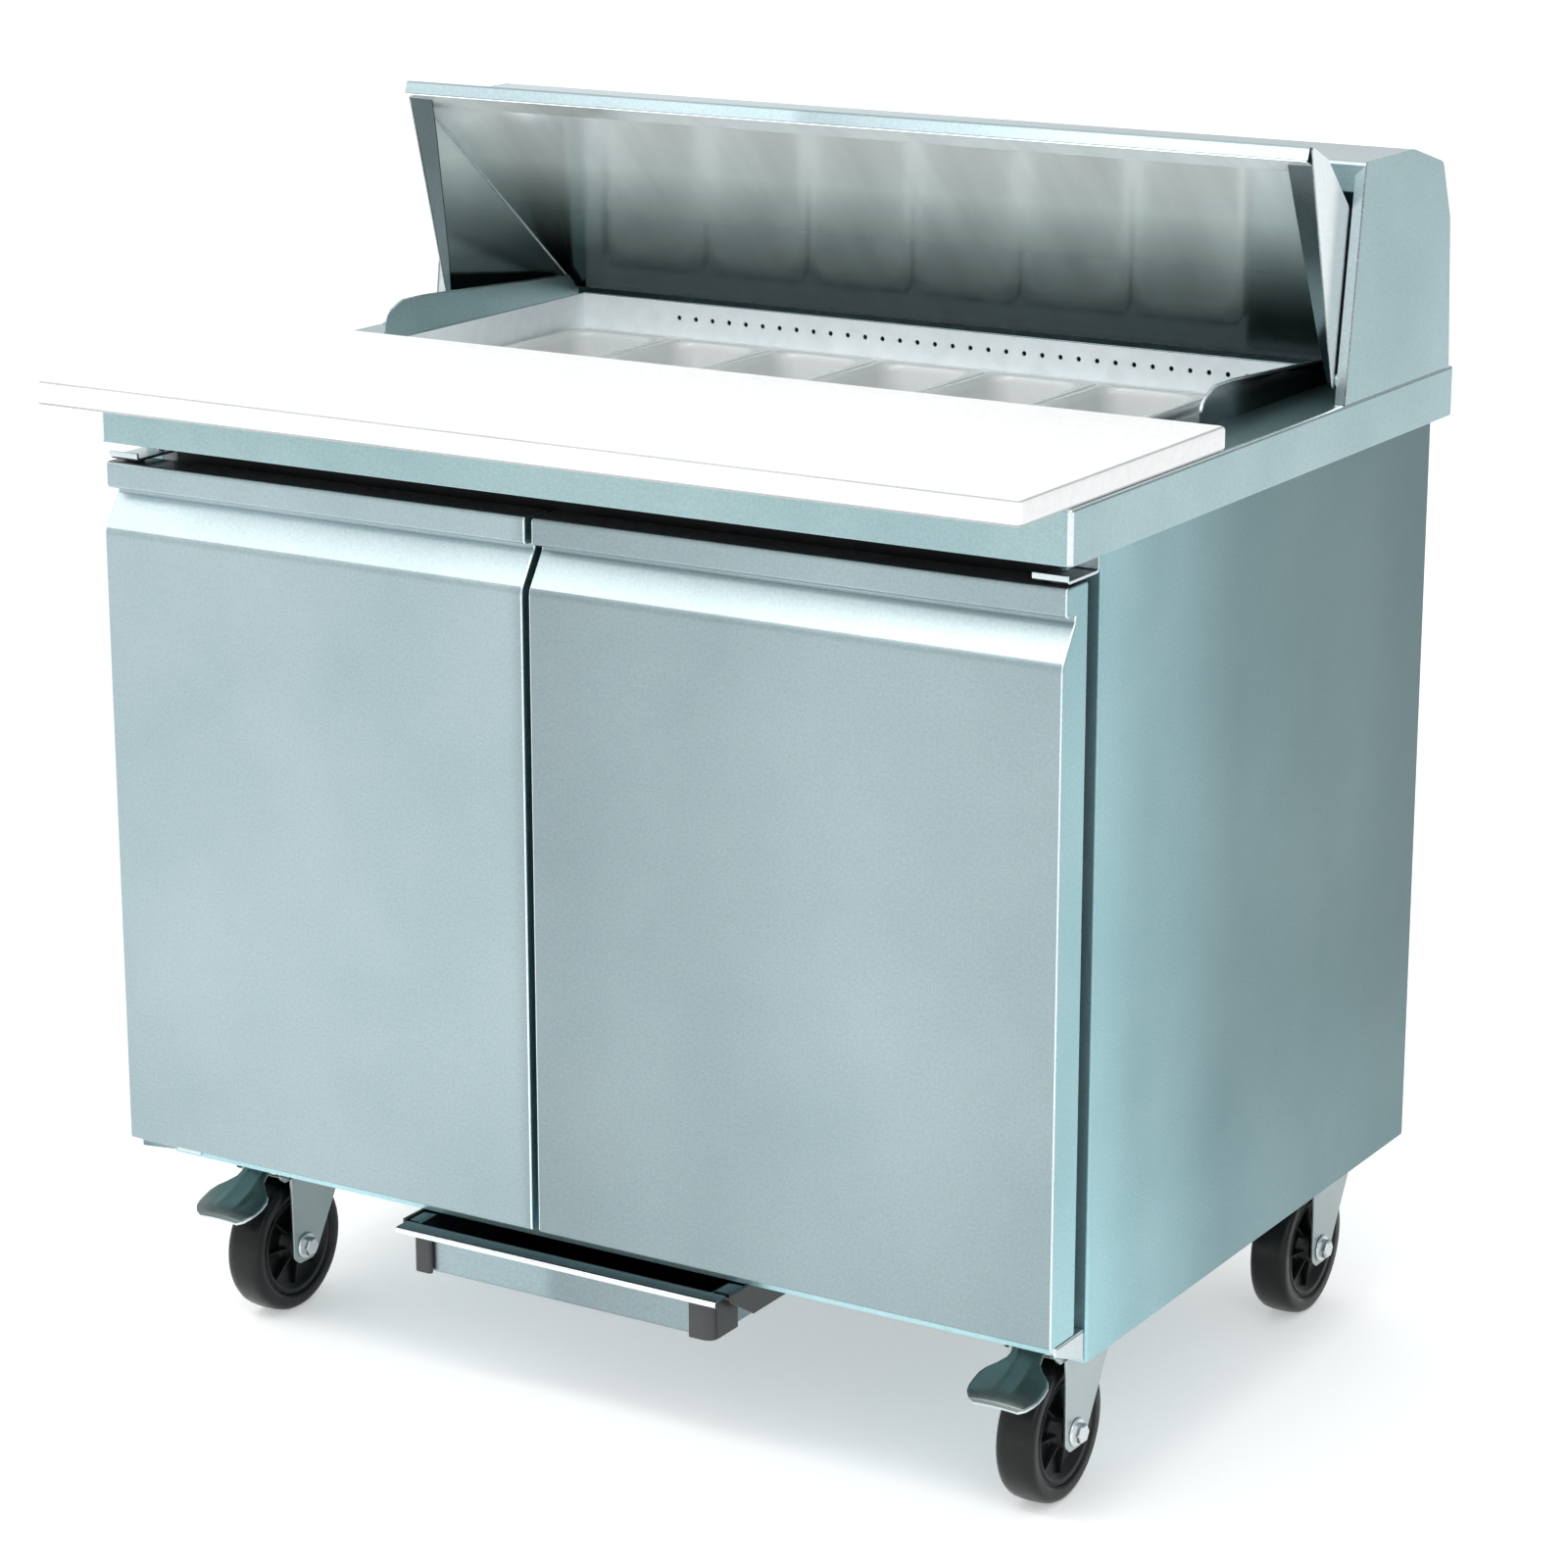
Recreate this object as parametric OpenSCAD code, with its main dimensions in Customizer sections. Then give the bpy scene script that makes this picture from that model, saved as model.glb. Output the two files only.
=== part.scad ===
// Sandwich prep table with two doors, raised cutting board, pan well and flip lid.
// Units are millimetres, +Z is up, the floor is z = 0, the front faces -Y.

/* [Worktop] */
// width of the worktop
top_w = 920; // [900:1:960]
// depth of the worktop without the board
top_d = 705; // [690:1:740]
// height of the worktop above the floor
top_h = 850; // [830:1:870]
// height of the folded skirt
skirt_h = 44; // [40:1:50]
// sheet thickness of the worktop
top_t = 1.5; // [1:0.5:2]

/* [Cutting board] */
// how far the board hangs past the front skirt
board_over = 80; // [60:1:100]
// depth of the board
board_d = 338; // [320:1:340]
// thickness of the board
board_t = 20; // [12:1:25]

/* [Cabinet] */
// width over the side panels
body_w = 914; // [900:1:918]
// underside of the cabinet above the floor
base_z = 156; // [156:1:156]
// middle of the gap between the doors
split_x = -26; // [-30:1:0]
// gap between the doors
door_gap = 6; // [4:1:8]

/* [Pans] */
// number of small pans in the rear row
pan_n = 6; // [6:1:6]
// pitch of the small pans
pan_pitch = 112; // [112:1:112]
// depth of every pan
pan_depth = 100; // [65:5:100]

/* [Lid] */
// height of the lid pivot above the worktop
pivot_up = 18; // [18:1:18]
// distance of the lid pivot behind the front skirt
pivot_y = 494; // [494:1:494]

/* [Casters] */
// wheel diameter
wheel_d = 125; // [125:1:125]
// width of the tread
tread_w = 35; // [30:1:36]
// distance of the casters from the middle
caster_x = 390; // [380:1:400]
// front casters behind the front skirt
caster_front = 150; // [140:1:160]
// rear casters behind the front skirt
caster_rear = 620; // [600:1:625]

/* [Hidden] */
body_front = 55;
body_back = 668;
skirt_z = top_h - skirt_h;
seat_y = -(top_d - board_over) / 2;
half_w = top_w / 2;
half_b = body_w / 2;
door_z0 = 187;
door_z1 = 790;
rim_z = 820;
pan_x0 = -397;
hinge_x = 441;
hinge_y = 20;
trail = 28;
axle_z = wheel_d / 2;
front_pan_w = 335;

// puts a piece that is drawn from the front skirt into the shared frame
module seat() {
    translate([0, seat_y, 0])
        children();
}

// a box between two corners
module box(a, b) {
    translate(a)
        cube([b[0] - a[0], b[1] - a[1], b[2] - a[2]]);
}

// an outline in y and z, drawn out along x
module side_cut(points, x0, x1) {
    translate([x0, 0, 0])
        rotate([90, 0, 90])
            linear_extrude(height = x1 - x0)
                polygon(points);
}

// a round bar along x
module bar_x(x0, x1, y, z, r) {
    translate([x0, y, z])
        rotate([0, 90, 0])
            cylinder(r = r, h = x1 - x0, $fn = 48);
}

// a round bar along z
module bar_z(x, y, z0, z1, r) {
    translate([x, y, z0])
        cylinder(r = r, h = z1 - z0, $fn = 48);
}

// a slim wire along y, eight sided
module wire_y(x, y0, y1, z, r) {
    translate([x, y0, z])
        rotate([-90, 0, 0])
            rotate([0, 0, 22.5])
                cylinder(r = r, h = y1 - y0, $fn = 8);
}

// a slim wire along x, eight sided
module wire_x(x0, x1, y, z, r) {
    translate([x0, y, z])
        rotate([0, 90, 0])
            rotate([0, 0, 22.5])
                cylinder(r = r, h = x1 - x0, $fn = 8);
}

// one outer side sheet with its rear fold
module side_sheet(s) {
    x0 = min(s * half_b, s * (half_b - 1.5));
    box([x0, body_front, base_z], [x0 + 1.5, body_back, skirt_z - 0.5]);
    f0 = min(s * (half_b - 1.5), s * (half_b - 20));
    box([f0, body_back - 1.5, base_z], [f0 + 18.5, body_back, skirt_z - 0.5]);
}

module side_panel_left() {
    color("silver") seat() side_sheet(-1);
}

module side_panel_right() {
    color("silver") seat() side_sheet(1);
}

// rear sheet with two fields of air slots for the machine compartment
module back_panel() {
    color("silver") seat() difference() {
        box([-437, body_back - 1.5, 158], [437, body_back, skirt_z - 0.5]);
        for (i = [0:8])
            box([-250, body_back - 2, 190 + i * 20],
                [-30, body_back + 0.5, 198 + i * 20]);
        for (i = [0:8])
            box([30, body_back - 2, 190 + i * 20],
                [250, body_back + 0.5, 198 + i * 20]);
        translate([330, body_back - 3, 300])
            rotate([-90, 0, 0])
                cylinder(r = 3.05, h = 6, $fn = 48);
    }
    // power inlet housing
    color("silver") seat() difference() {
        box([300, body_back, 186], [360, body_back + 16, 226]);
        box([308, body_back + 4, 192], [352, body_back + 17, 220]);
    }
}

// floor sheet with a folded front edge
module base_plate() {
    color("silver") seat() {
        box([-455.5, 55, base_z], [455.5, 666.5, 158]);
        box([-455.5, 55, 158], [455.5, 56, 176]);
    }
}

// breaker frame that the door gaskets close on, with the mullion
module front_frame() {
    color("lightgray") seat() difference() {
        box([-455.5, 56, 158], [455.5, 76, skirt_z - 0.5]);
        box([-425, 55, 215], [split_x - 25, 77, 760]);
        box([split_x + 25, 55, 215], [425, 77, 760]);
    }
}

liner_out = [[76, 203], [450, 203], [450, 421], [629, 421], [629, 772], [76, 772]];
liner_in = [[75, 204], [449, 204], [449, 422], [628, 422], [628, 771], [75, 771]];

// inner box with the step over the machine compartment
module cabinet_liner() {
    color("gainsboro") seat() difference() {
        side_cut(liner_out, -427, 427);
        side_cut(liner_in, -426, 426);
        box([-403.5, 260, 770], [403.5, 630, 773]);
    }
}

// foam under and behind the inner box, stepped over the machine compartment
module insulation() {
    color("khaki") seat()
        side_cut([[76, 158], [480, 158], [480, 392], [666.5, 392], [666.5, 805],
            [641.5, 805], [641.5, 770.8], [629, 770.8], [629, 421], [450, 421],
            [450, 203], [76, 203]], -427, 427);
}

// foam slabs in the side walls and around the well
module insulation_walls() {
    color("khaki") seat() {
        for (m = [0, 1]) mirror([m, 0, 0]) {
            box([427, 76, 158], [455.5, 666.5, 805]);
            box([403.5, 260.2, 772], [426.8, 641.3, 805]);
        }
        box([-426.8, 76, 772], [426.8, 260, 805]);
    }
}

// curved front end of one upstand rail, as an outline in y and z
rail_cut = [[322, 0], [323.5, 10], [328, 18.5], [336, 25], [348, 29],
    [364, 31], [380, 31.5], [616, 18], [631, 3.5], [631, -1.5], [322, -1.5]];

// top sheet with skirt, opening and the two upstand rails
module worktop() {
    color("silver") seat() {
        difference() {
            box([-half_w, 0, skirt_z], [half_w, top_d, top_h]);
            box([-half_w + top_t, top_t, skirt_z - 1],
                [half_w - top_t, top_d - top_t, top_h - top_t]);
            box([-402, 261.5, top_h - 3], [402, 640, top_h + 1]);
        }
        translate([0, 0, top_h]) side_cut(rail_cut, 402, 403.5);
        translate([0, 0, top_h]) side_cut(rail_cut, -403.5, -402);
        // crossbars under the sheet that stand on the cabinet
        box([-458.5, 100, skirt_z - 0.5], [458.5, 104, top_h - top_t]);
        box([-458.5, 230, skirt_z - 0.5], [458.5, 234, top_h - top_t]);
        box([-458.5, 655, skirt_z - 0.5], [458.5, 659, top_h - top_t]);
    }
}

// walls and ledges of the pan well, with the row of air holes at the rear
module well_frame() {
    color("lightgray") seat() {
        difference() {
            box([-403.5, 260, 771], [403.5, 641.5, top_h - top_t]);
            box([-402, 261.5, 770], [402, 640, top_h]);
            for (i = [0:32])
                translate([-294.4 + i * 18.4, 639, 834])
                    rotate([-90, 0, 0])
                        cylinder(r = 2.3, h = 4, $fn = 24);
        }
        box([-402, 261.5, 804], [402, 275, 816.6]);
        box([-402, 612, 804], [402, 640, 816.6]);
        // seats for the ends of the loose bar
        box([-402, 434, 796], [-400, 454, 800]);
        box([400, 434, 796], [402, 454, 800]);
    }
}

// loose bar that carries the inner rims of both pan rows
module pan_bar() {
    color("silver") seat() {
        box([-402, 436.5, 812.6], [402, 451.5, 816.6]);
        box([-402, 441, 800], [402, 447, 812.6]);
    }
}

// plate that covers the end of the well beside the pans
module filler_plate() {
    color("silver") seat() difference() {
        box([277, 263, 816.6], [401, 639, 820]);
        box([292, 280, 815.6], [386, 428, 818.5]);
        box([292, 460, 815.6], [386, 608, 818.5]);
    }
}

// a pan with a flat rim between two corners
module pan(x0, y0, x1, y1) {
    difference() {
        union() {
            box([x0, y0, rim_z - 3], [x1, y1, rim_z]);
            box([x0 + 9, y0 + 9, rim_z - pan_depth], [x1 - 9, y1 - 9, rim_z - 2]);
        }
        box([x0 + 11.5, y0 + 11.5, rim_z - pan_depth + 2.5],
            [x1 - 11.5, y1 - 11.5, rim_z + 1]);
    }
}

module pan_rear(i) {
    color("lightcyan") seat()
        pan(pan_x0 + i * pan_pitch, 444.8, pan_x0 + i * pan_pitch + 110, 620);
}

module pan_rear_1() {
    pan_rear(0);
}

module pan_rear_2() {
    pan_rear(1);
}

module pan_rear_3() {
    pan_rear(2);
}

module pan_rear_4() {
    pan_rear(3);
}

module pan_rear_5() {
    pan_rear(4);
}

module pan_rear_6() {
    pan_rear(5);
}

module pan_front_1() {
    color("lightcyan") seat()
        pan(pan_x0, 268, pan_x0 + front_pan_w, 443.2);
}

module pan_front_2() {
    color("lightcyan") seat()
        pan(pan_x0 + front_pan_w + 2, 268, pan_x0 + 2 * front_pan_w + 2, 443.2);
}

// white board with a small chamfer all round
module cutting_board() {
    y0 = -board_over;
    y1 = board_d - board_over;
    z0 = top_h + 0.4;
    z1 = top_h + board_t;
    color("white") seat()
        side_cut([[y0 + 2, z0], [y1 - 2, z0], [y1, z0 + 2], [y1, z1 - 2],
            [y1 - 2, z1], [y0 + 2, z1], [y0, z1 - 2], [y0, z0 + 2]],
            -half_w, half_w);
}

hood_skin = [[507, 170], [507, 197], [603, 197], [665, 180], [684, 130],
    [694, 0], [692.5, 0], [682.6, 129.6], [663.9, 178.7], [602.8, 195.5],
    [508.5, 195.5], [508.5, 171.5], [524, 171.5], [524, 170]];
hood_side = [[480, 0], [507, 197], [603, 197], [665, 180], [684, 130], [694, 0]];

// fixed rear housing that the lid folds into
module hood() {
    color("silver") seat() translate([0, 0, top_h]) {
        side_cut(hood_skin, -458.5, 458.5);
        difference() {
            side_cut(hood_side, 458.5, 460);
            bar_x(457, 461, pivot_y, pivot_up, 4.05);
        }
        difference() {
            side_cut(hood_side, -460, -458.5);
            bar_x(-461, -457, pivot_y, pivot_up, 4.05);
        }
    }
}

// outer skin of the lid with its front lip, drawn open
module lid_panel() {
    color("silver") seat() translate([0, 0, top_h])
        side_cut([[425, 218], [457, 204], [656, 5], [639, 5],
            [638, 6.2], [653, 6.2], [456.4, 202.8], [425.6, 216.4],
            [421.3, 206.6], [420.2, 207]], -446, 446);
}

// slanted end facet that narrows the inside of the lid towards the pivots
module end_facet() {
    polyhedron(
        points = [[444.4, 484, 14], [444.4, 449.9, 193.4], [410.4, 637.2, 6.1],
            [445.4, 484, 14], [445.4, 449.9, 193.4], [411.4, 637.2, 6.1]],
        faces = [[0, 2, 1], [3, 4, 5], [0, 1, 4, 3], [1, 2, 5, 4], [2, 0, 3, 5]]);
}

// polished inner sheet of the lid with its two end facets
module lid_liner() {
    color("lightsteelblue") seat() translate([0, 0, top_h]) {
        difference() {
            side_cut([[420.2, 207], [450.06, 193.94], [639, 5], [637.59, 5],
                [449.5, 193.09], [419.7, 205.9]], -445.4, 445.4);
            for (m = [0, 1]) mirror([m, 0, 0])
                linear_extrude(height = 210)
                    polygon([[445.4, 449.9], [447, 449.9], [447, 646],
                        [409.8, 646]]);
        }
        end_facet();
        mirror([1, 0, 0]) end_facet();
    }
}

gusset = [[425, 218], [457, 204], [655, 6], [500, 5], [480, 14]];

// end plates of the lid with their pivot pins
module lid_gussets() {
    color("lightgray") seat() translate([0, 0, top_h]) {
        side_cut(gusset, 446, 448);
        side_cut(gusset, -448, -446);
        bar_x(448, 458, pivot_y, pivot_up, 7);
        bar_x(458, 459.8, pivot_y, pivot_up, 4);
        bar_x(-458, -448, pivot_y, pivot_up, 7);
        bar_x(-459.8, -458, pivot_y, pivot_up, 4);
    }
}

// upper and lower pivot brackets of one door
module bracket_pair(s) {
    x0 = min(s * 425, s * 455.4);
    x1 = max(s * 425, s * 455.4);
    box([x0, 4, 791.5], [x1, 56, 794.5]);
    box([x0, 4, 794.5], [x1, 7, 798.5]);
    box([x0, 52, 794.5], [x1, 56, skirt_z - 1]);
    bar_z(s * hinge_x, hinge_y, 776, 791.5, 4);
    box([x0, 6, 182.5], [x1, 55, 185.5]);
    box([x0, 52, 158], [x1, 55, 182.5]);
    e = min(s * 452.4, s * 455.4);
    side_cut([[52, 158], [52, 182.5], [10, 182.5], [10, 176]], e, e + 3);
    bar_z(s * hinge_x, hinge_y, 185.5, 201, 4);
}

module hinge_brackets() {
    color("silver") seat() {
        bracket_pair(1);
        bracket_pair(-1);
    }
}

door_cut = [[-4, 187], [-4, 732], [15, 762], [15, 767], [1, 767], [1, 790],
    [34, 790], [34, 187]];
door_fill = [[-2.8, 188.2], [-2.8, 731.7], [16.2, 761.7], [16.2, 768.2],
    [2.2, 768.2], [2.2, 788.8], [34, 788.8], [34, 188.2]];

module door_pins(s) {
    bar_z(s * hinge_x, hinge_y, 775, 795, 4.05);
    bar_z(s * hinge_x, hinge_y, 180, 202, 4.05);
}

module door_shell(x0, x1, s) {
    difference() {
        side_cut(door_cut, x0, x1);
        side_cut(door_fill, x0 + 1.2, x1 - 1.2);
        box([x0 + 1.2, 33, 188.2], [x1 - 1.2, 35, 788.8]);
        door_pins(s);
    }
}

module door_core(x0, x1, s) {
    difference() {
        side_cut(door_fill, x0 + 1.2, x1 - 1.2);
        door_pins(s);
    }
}

module door_gasket(x0, x1) {
    difference() {
        box([x0, 34, 197], [x1, 55.5, 778]);
        box([x0 + 14, 33, 211], [x1 - 14, 56, 764]);
        // the groove of the bellows
        box([x0 - 1, 40, 196], [x0 + 3, 46, 779]);
        box([x1 - 3, 40, 196], [x1 + 1, 46, 779]);
        box([x0 - 1, 40, 196], [x1 + 1, 46, 200]);
        box([x0 - 1, 40, 775], [x1 + 1, 46, 779]);
    }
}

module door_left_shell() {
    color("silver") seat() door_shell(-half_b, split_x - door_gap / 2, -1);
}

module door_left_core() {
    color("gainsboro") seat() door_core(-half_b, split_x - door_gap / 2, -1);
}

module door_left_gasket() {
    color("dimgray") seat() door_gasket(-443, split_x - 13);
}

module door_right_shell() {
    color("silver") seat() door_shell(split_x + door_gap / 2, half_b, 1);
}

module door_right_core() {
    color("gainsboro") seat() door_core(split_x + door_gap / 2, half_b, 1);
}

module door_right_gasket() {
    color("dimgray") seat() door_gasket(split_x + 13, 443);
}

// one slotted shelf post with its clip
module shelf_post(x0, y, z1) {
    box([x0, y, 204], [x0 + 4, y + 22, z1]);
    box([x0 - 6, y + 4, 492], [x0 + 10, y + 18, 496]);
}

module shelf_posts() {
    color("silver") seat() {
        box([-426, 110, 220], [-422, 132, 760]);
        box([-422, 114, 492], [-408, 128, 496]);
        box([-426, 540, 440], [-422, 562, 760]);
        box([-422, 544, 492], [-408, 558, 496]);
        box([422, 110, 220], [426, 132, 760]);
        box([408, 114, 492], [422, 128, 496]);
        box([422, 540, 440], [426, 562, 760]);
        box([408, 544, 492], [422, 558, 496]);
        shelf_post(split_x - 2, 110, 540);
        shelf_post(split_x - 2, 425, 540);
        box([split_x - 8, 110, 488], [split_x + 8, 562, 492]);
    }
}

// wire shelf between two x positions
module shelf(x0, x1) {
    wire_x(x0, x1, 90, 499, 3);
    wire_x(x0, x1, 330, 499, 3);
    wire_x(x0, x1, 570, 499, 3);
    n = 14;
    for (i = [0:n])
        wire_y(x0 + 4 + i * (x1 - x0 - 8) / n, 88, 572, 503.5, 2);
}

module shelf_left() {
    color("gray") seat() shelf(-418, split_x - 6);
}

module shelf_right() {
    color("gray") seat() shelf(split_x + 6, 418);
}

// black angles that the tray hangs in
module tray_runners() {
    color("black") seat() {
        box([-186, 28, 128], [-183, 330, base_z]);
        box([143, 28, 128], [146, 330, base_z]);
        box([-183, 28, 149.5], [-173, 330, 152.5]);
        box([133, 28, 149.5], [143, 330, 152.5]);
    }
}

// shallow tray that catches condensate
module condensate_tray() {
    color("silver") seat() {
        difference() {
            box([-168, 26, 114], [128, 320, 155]);
            box([-166.5, 27.5, 115.5], [126.5, 318.5, 156]);
        }
        box([-181, 32, 153], [-168, 320, 155]);
        box([128, 32, 153], [141, 320, 155]);
        box([-181, 10, 153], [141, 26, 155]);
        box([-181, 10, 149], [141, 11.5, 153]);
    }
}

// hermetic compressor with feet
module compressor() {
    color("black") seat() {
        bar_z(250, 575, 176, 300, 68);
        translate([250, 575, 300])
            cylinder(r1 = 68, r2 = 40, h = 28, $fn = 48);
        bar_z(250, 575, 168, 176, 50);
        box([170, 560, 162], [330, 590, 168]);
        bar_z(180, 575, 158, 162, 10);
        bar_z(320, 575, 158, 162, 10);
    }
}

// finned condenser with its fan shroud and bearing
module condenser() {
    color("darkgray") seat() {
        for (i = [0:15])
            box([-220 + i * 16, 600, 165], [-218.5 + i * 16, 640, 345]);
        for (k = [0:4])
            bar_x(-226, 26, 620, 185 + k * 35, 4);
        box([-228, 598, 158], [-224, 642, 350]);
        box([26, 598, 158], [30, 642, 350]);
        difference() {
            box([-228, 590, 158], [30, 598, 350]);
            translate([-99, 588, 255])
                rotate([-90, 0, 0])
                    cylinder(r = 82, h = 12, $fn = 48);
        }
        difference() {
            box([-184, 520, 251], [-14, 526, 259]);
            translate([-99, 519, 255])
                rotate([-90, 0, 0])
                    cylinder(r = 3.05, h = 8, $fn = 48);
        }
        box([-184, 520, 158], [-180, 526, 251]);
        box([-18, 520, 158], [-14, 526, 251]);
    }
}

// fan rotor with four blades on a shaft
module condenser_fan() {
    color("black") seat() translate([-99, 0, 255]) {
        translate([0, 518, 0])
            rotate([-90, 0, 0])
                cylinder(r = 3, h = 12, $fn = 48);
        translate([0, 530, 0])
            rotate([-90, 0, 0])
                cylinder(r = 22, h = 26, $fn = 48);
        for (a = [0:90:270])
            rotate([0, a, 0])
                translate([18, 543, 0])
                    rotate([35, 0, 0])
                        translate([0, -1, -20])
                            cube([56, 2, 40]);
    }
}

// finned coil on the rear wall of the cold space
module evaporator() {
    color("lightgray") seat() {
        for (i = [0:19])
            box([-200 + i * 20, 586, 570], [-198.5 + i * 20, 622, 680]);
        for (k = [0:3])
            bar_x(-204, 188, 604, 586 + k * 26, 4);
        box([-206, 584, 568], [-203, 628, 682]);
        box([186, 584, 568], [189, 628, 682]);
    }
}

// dial on the outside of the rear sheet
module thermostat_knob() {
    color("black") seat() translate([330, body_back, 300]) {
        rotate([-90, 0, 0])
            difference() {
                translate([0, 0, 0.6])
                    cylinder(r = 17, h = 16, $fn = 48);
                translate([-1, -17, 14.6])
                    cube([2, 11, 4]);
            }
        translate([0, -12, 0])
            rotate([-90, 0, 0])
                cylinder(r = 3, h = 13, $fn = 48);
    }
}

// fixed plate and upper race of one caster
module caster_mount(x, y) {
    color("lightgray") seat() translate([x, y, 0]) {
        box([-38, -46, 152], [38, 46, base_z]);
        for (a = [-30, 30])
            for (b = [-37, 37])
                translate([a, b, 147.5])
                    cylinder(r = 6, h = 4.5, $fn = 6);
        difference() {
            bar_z(0, 0, 143, 152, 29);
            bar_z(0, 0, 142, 151, 6.05);
        }
    }
}

leg_cut = [[-46, 132], [26, 132], [26, 116], [-12, 54], [-19, 48], [-37, 48],
    [-46, 57]];

// swivel fork with the axle bolt
module caster_fork(x, y, lever) {
    color("darkgray") seat() translate([x, y, 0]) {
        side_cut(leg_cut, 22, 25);
        side_cut(leg_cut, -25, -22);
        box([-22, -46, 128.5], [22, 26, 132]);
        bar_z(0, 0, 132, 142.5, 27);
        bar_z(0, 0, 142.5, 150, 6);
        bar_x(-25, 25, -trail, axle_z, 6);
        bar_x(25, 27, -trail, axle_z, 11);
        bar_x(-27, -25, -trail, axle_z, 11);
        // ears at the front for a brake lever
        if (lever)
            difference() {
                union() {
                    box([19.5, -57, 128.5], [22.5, -45, 144]);
                    box([-22.5, -57, 128.5], [-19.5, -45, 144]);
                }
                bar_x(-24, 24, -51, 138.6, 4.05);
            }
        for (e = [27, -34])
            translate([e, -trail, axle_z])
                rotate([0, 90, 0])
                    cylinder(r = 9, h = 7, $fn = 6);
    }
}

tread_cut = [[45, -16], [56, -tread_w / 2], [60, -16], [62, -11], [62.5, 0],
    [62, 11], [60, 16], [56, tread_w / 2], [45, 16]];

// rubber tread of one wheel
module caster_tyre(x, y) {
    color("black") seat() translate([x, y - trail, axle_z])
        rotate([0, 90, 0])
            rotate_extrude($fn = 64)
                polygon(tread_cut);
}

hub_cut = [[6.05, -20], [14, -20], [16, -6], [38, -5], [40, -16], [45, -16],
    [45, 16], [40, 16], [38, 5], [16, 6], [14, 20], [6.05, 20]];

// centre of one wheel
module caster_hub(x, y) {
    color("gray") seat() translate([x, y - trail, axle_z])
        rotate([0, 90, 0])
            rotate_extrude($fn = 64)
                polygon(hub_cut);
}

pedal_cut = [[-49, 142], [-62, 142], [-73, 137], [-84, 130], [-98, 124.5],
    [-112, 120], [-121, 113], [-118.5, 111], [-110.5, 117], [-97, 121.2],
    [-82.5, 126.6], [-71.5, 133.4], [-61, 138.2], [-49, 138]];

// foot brake lever of one front caster
module caster_pedal(x, y) {
    color("darkgray") seat() translate([x, y, 0]) {
        side_cut(pedal_cut, -14, 14);
        side_cut([[-80, 132.5], [-84, 130], [-98, 124.5], [-112, 120],
            [-121, 113], [-118.5, 111], [-110.5, 117], [-97, 121.2],
            [-82.5, 126.6], [-78.5, 129.2]], -32, 32);
        bar_x(-23.5, 23.5, -51, 138.6, 4);
    }
}

module caster_fl_mount() {
    caster_mount(-caster_x, caster_front);
}

module caster_fl_fork() {
    caster_fork(-caster_x, caster_front, true);
}

module caster_fl_tyre() {
    caster_tyre(-caster_x, caster_front);
}

module caster_fl_hub() {
    caster_hub(-caster_x, caster_front);
}

module caster_fl_pedal() {
    caster_pedal(-caster_x, caster_front);
}

module caster_fr_mount() {
    caster_mount(caster_x, caster_front);
}

module caster_fr_fork() {
    caster_fork(caster_x, caster_front, true);
}

module caster_fr_tyre() {
    caster_tyre(caster_x, caster_front);
}

module caster_fr_hub() {
    caster_hub(caster_x, caster_front);
}

module caster_fr_pedal() {
    caster_pedal(caster_x, caster_front);
}

module caster_rl_mount() {
    caster_mount(-caster_x, caster_rear);
}

module caster_rl_fork() {
    caster_fork(-caster_x, caster_rear, false);
}

module caster_rl_tyre() {
    caster_tyre(-caster_x, caster_rear);
}

module caster_rl_hub() {
    caster_hub(-caster_x, caster_rear);
}

module caster_rr_mount() {
    caster_mount(caster_x, caster_rear);
}

module caster_rr_fork() {
    caster_fork(caster_x, caster_rear, false);
}

module caster_rr_tyre() {
    caster_tyre(caster_x, caster_rear);
}

module caster_rr_hub() {
    caster_hub(caster_x, caster_rear);
}

side_panel_left();
side_panel_right();
back_panel();
base_plate();
front_frame();
cabinet_liner();
insulation();
insulation_walls();
worktop();
well_frame();
pan_bar();
filler_plate();
cutting_board();
hood();
lid_panel();
lid_liner();
lid_gussets();
hinge_brackets();
door_left_shell();
door_left_core();
door_left_gasket();
door_right_shell();
door_right_core();
door_right_gasket();
shelf_posts();
shelf_left();
shelf_right();
tray_runners();
condensate_tray();
compressor();
condenser();
condenser_fan();
evaporator();
thermostat_knob();
caster_fl_mount();
caster_fl_fork();
caster_fl_tyre();
caster_fl_hub();
caster_fl_pedal();
caster_fr_mount();
caster_fr_fork();
caster_fr_tyre();
caster_fr_hub();
caster_fr_pedal();
caster_rl_mount();
caster_rl_fork();
caster_rl_tyre();
caster_rl_hub();
caster_rr_mount();
caster_rr_fork();
caster_rr_tyre();
caster_rr_hub();
pan_rear_1();
pan_rear_2();
pan_rear_3();
pan_rear_4();
pan_rear_5();
pan_rear_6();
pan_front_1();
pan_front_2();
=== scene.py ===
import math

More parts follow.
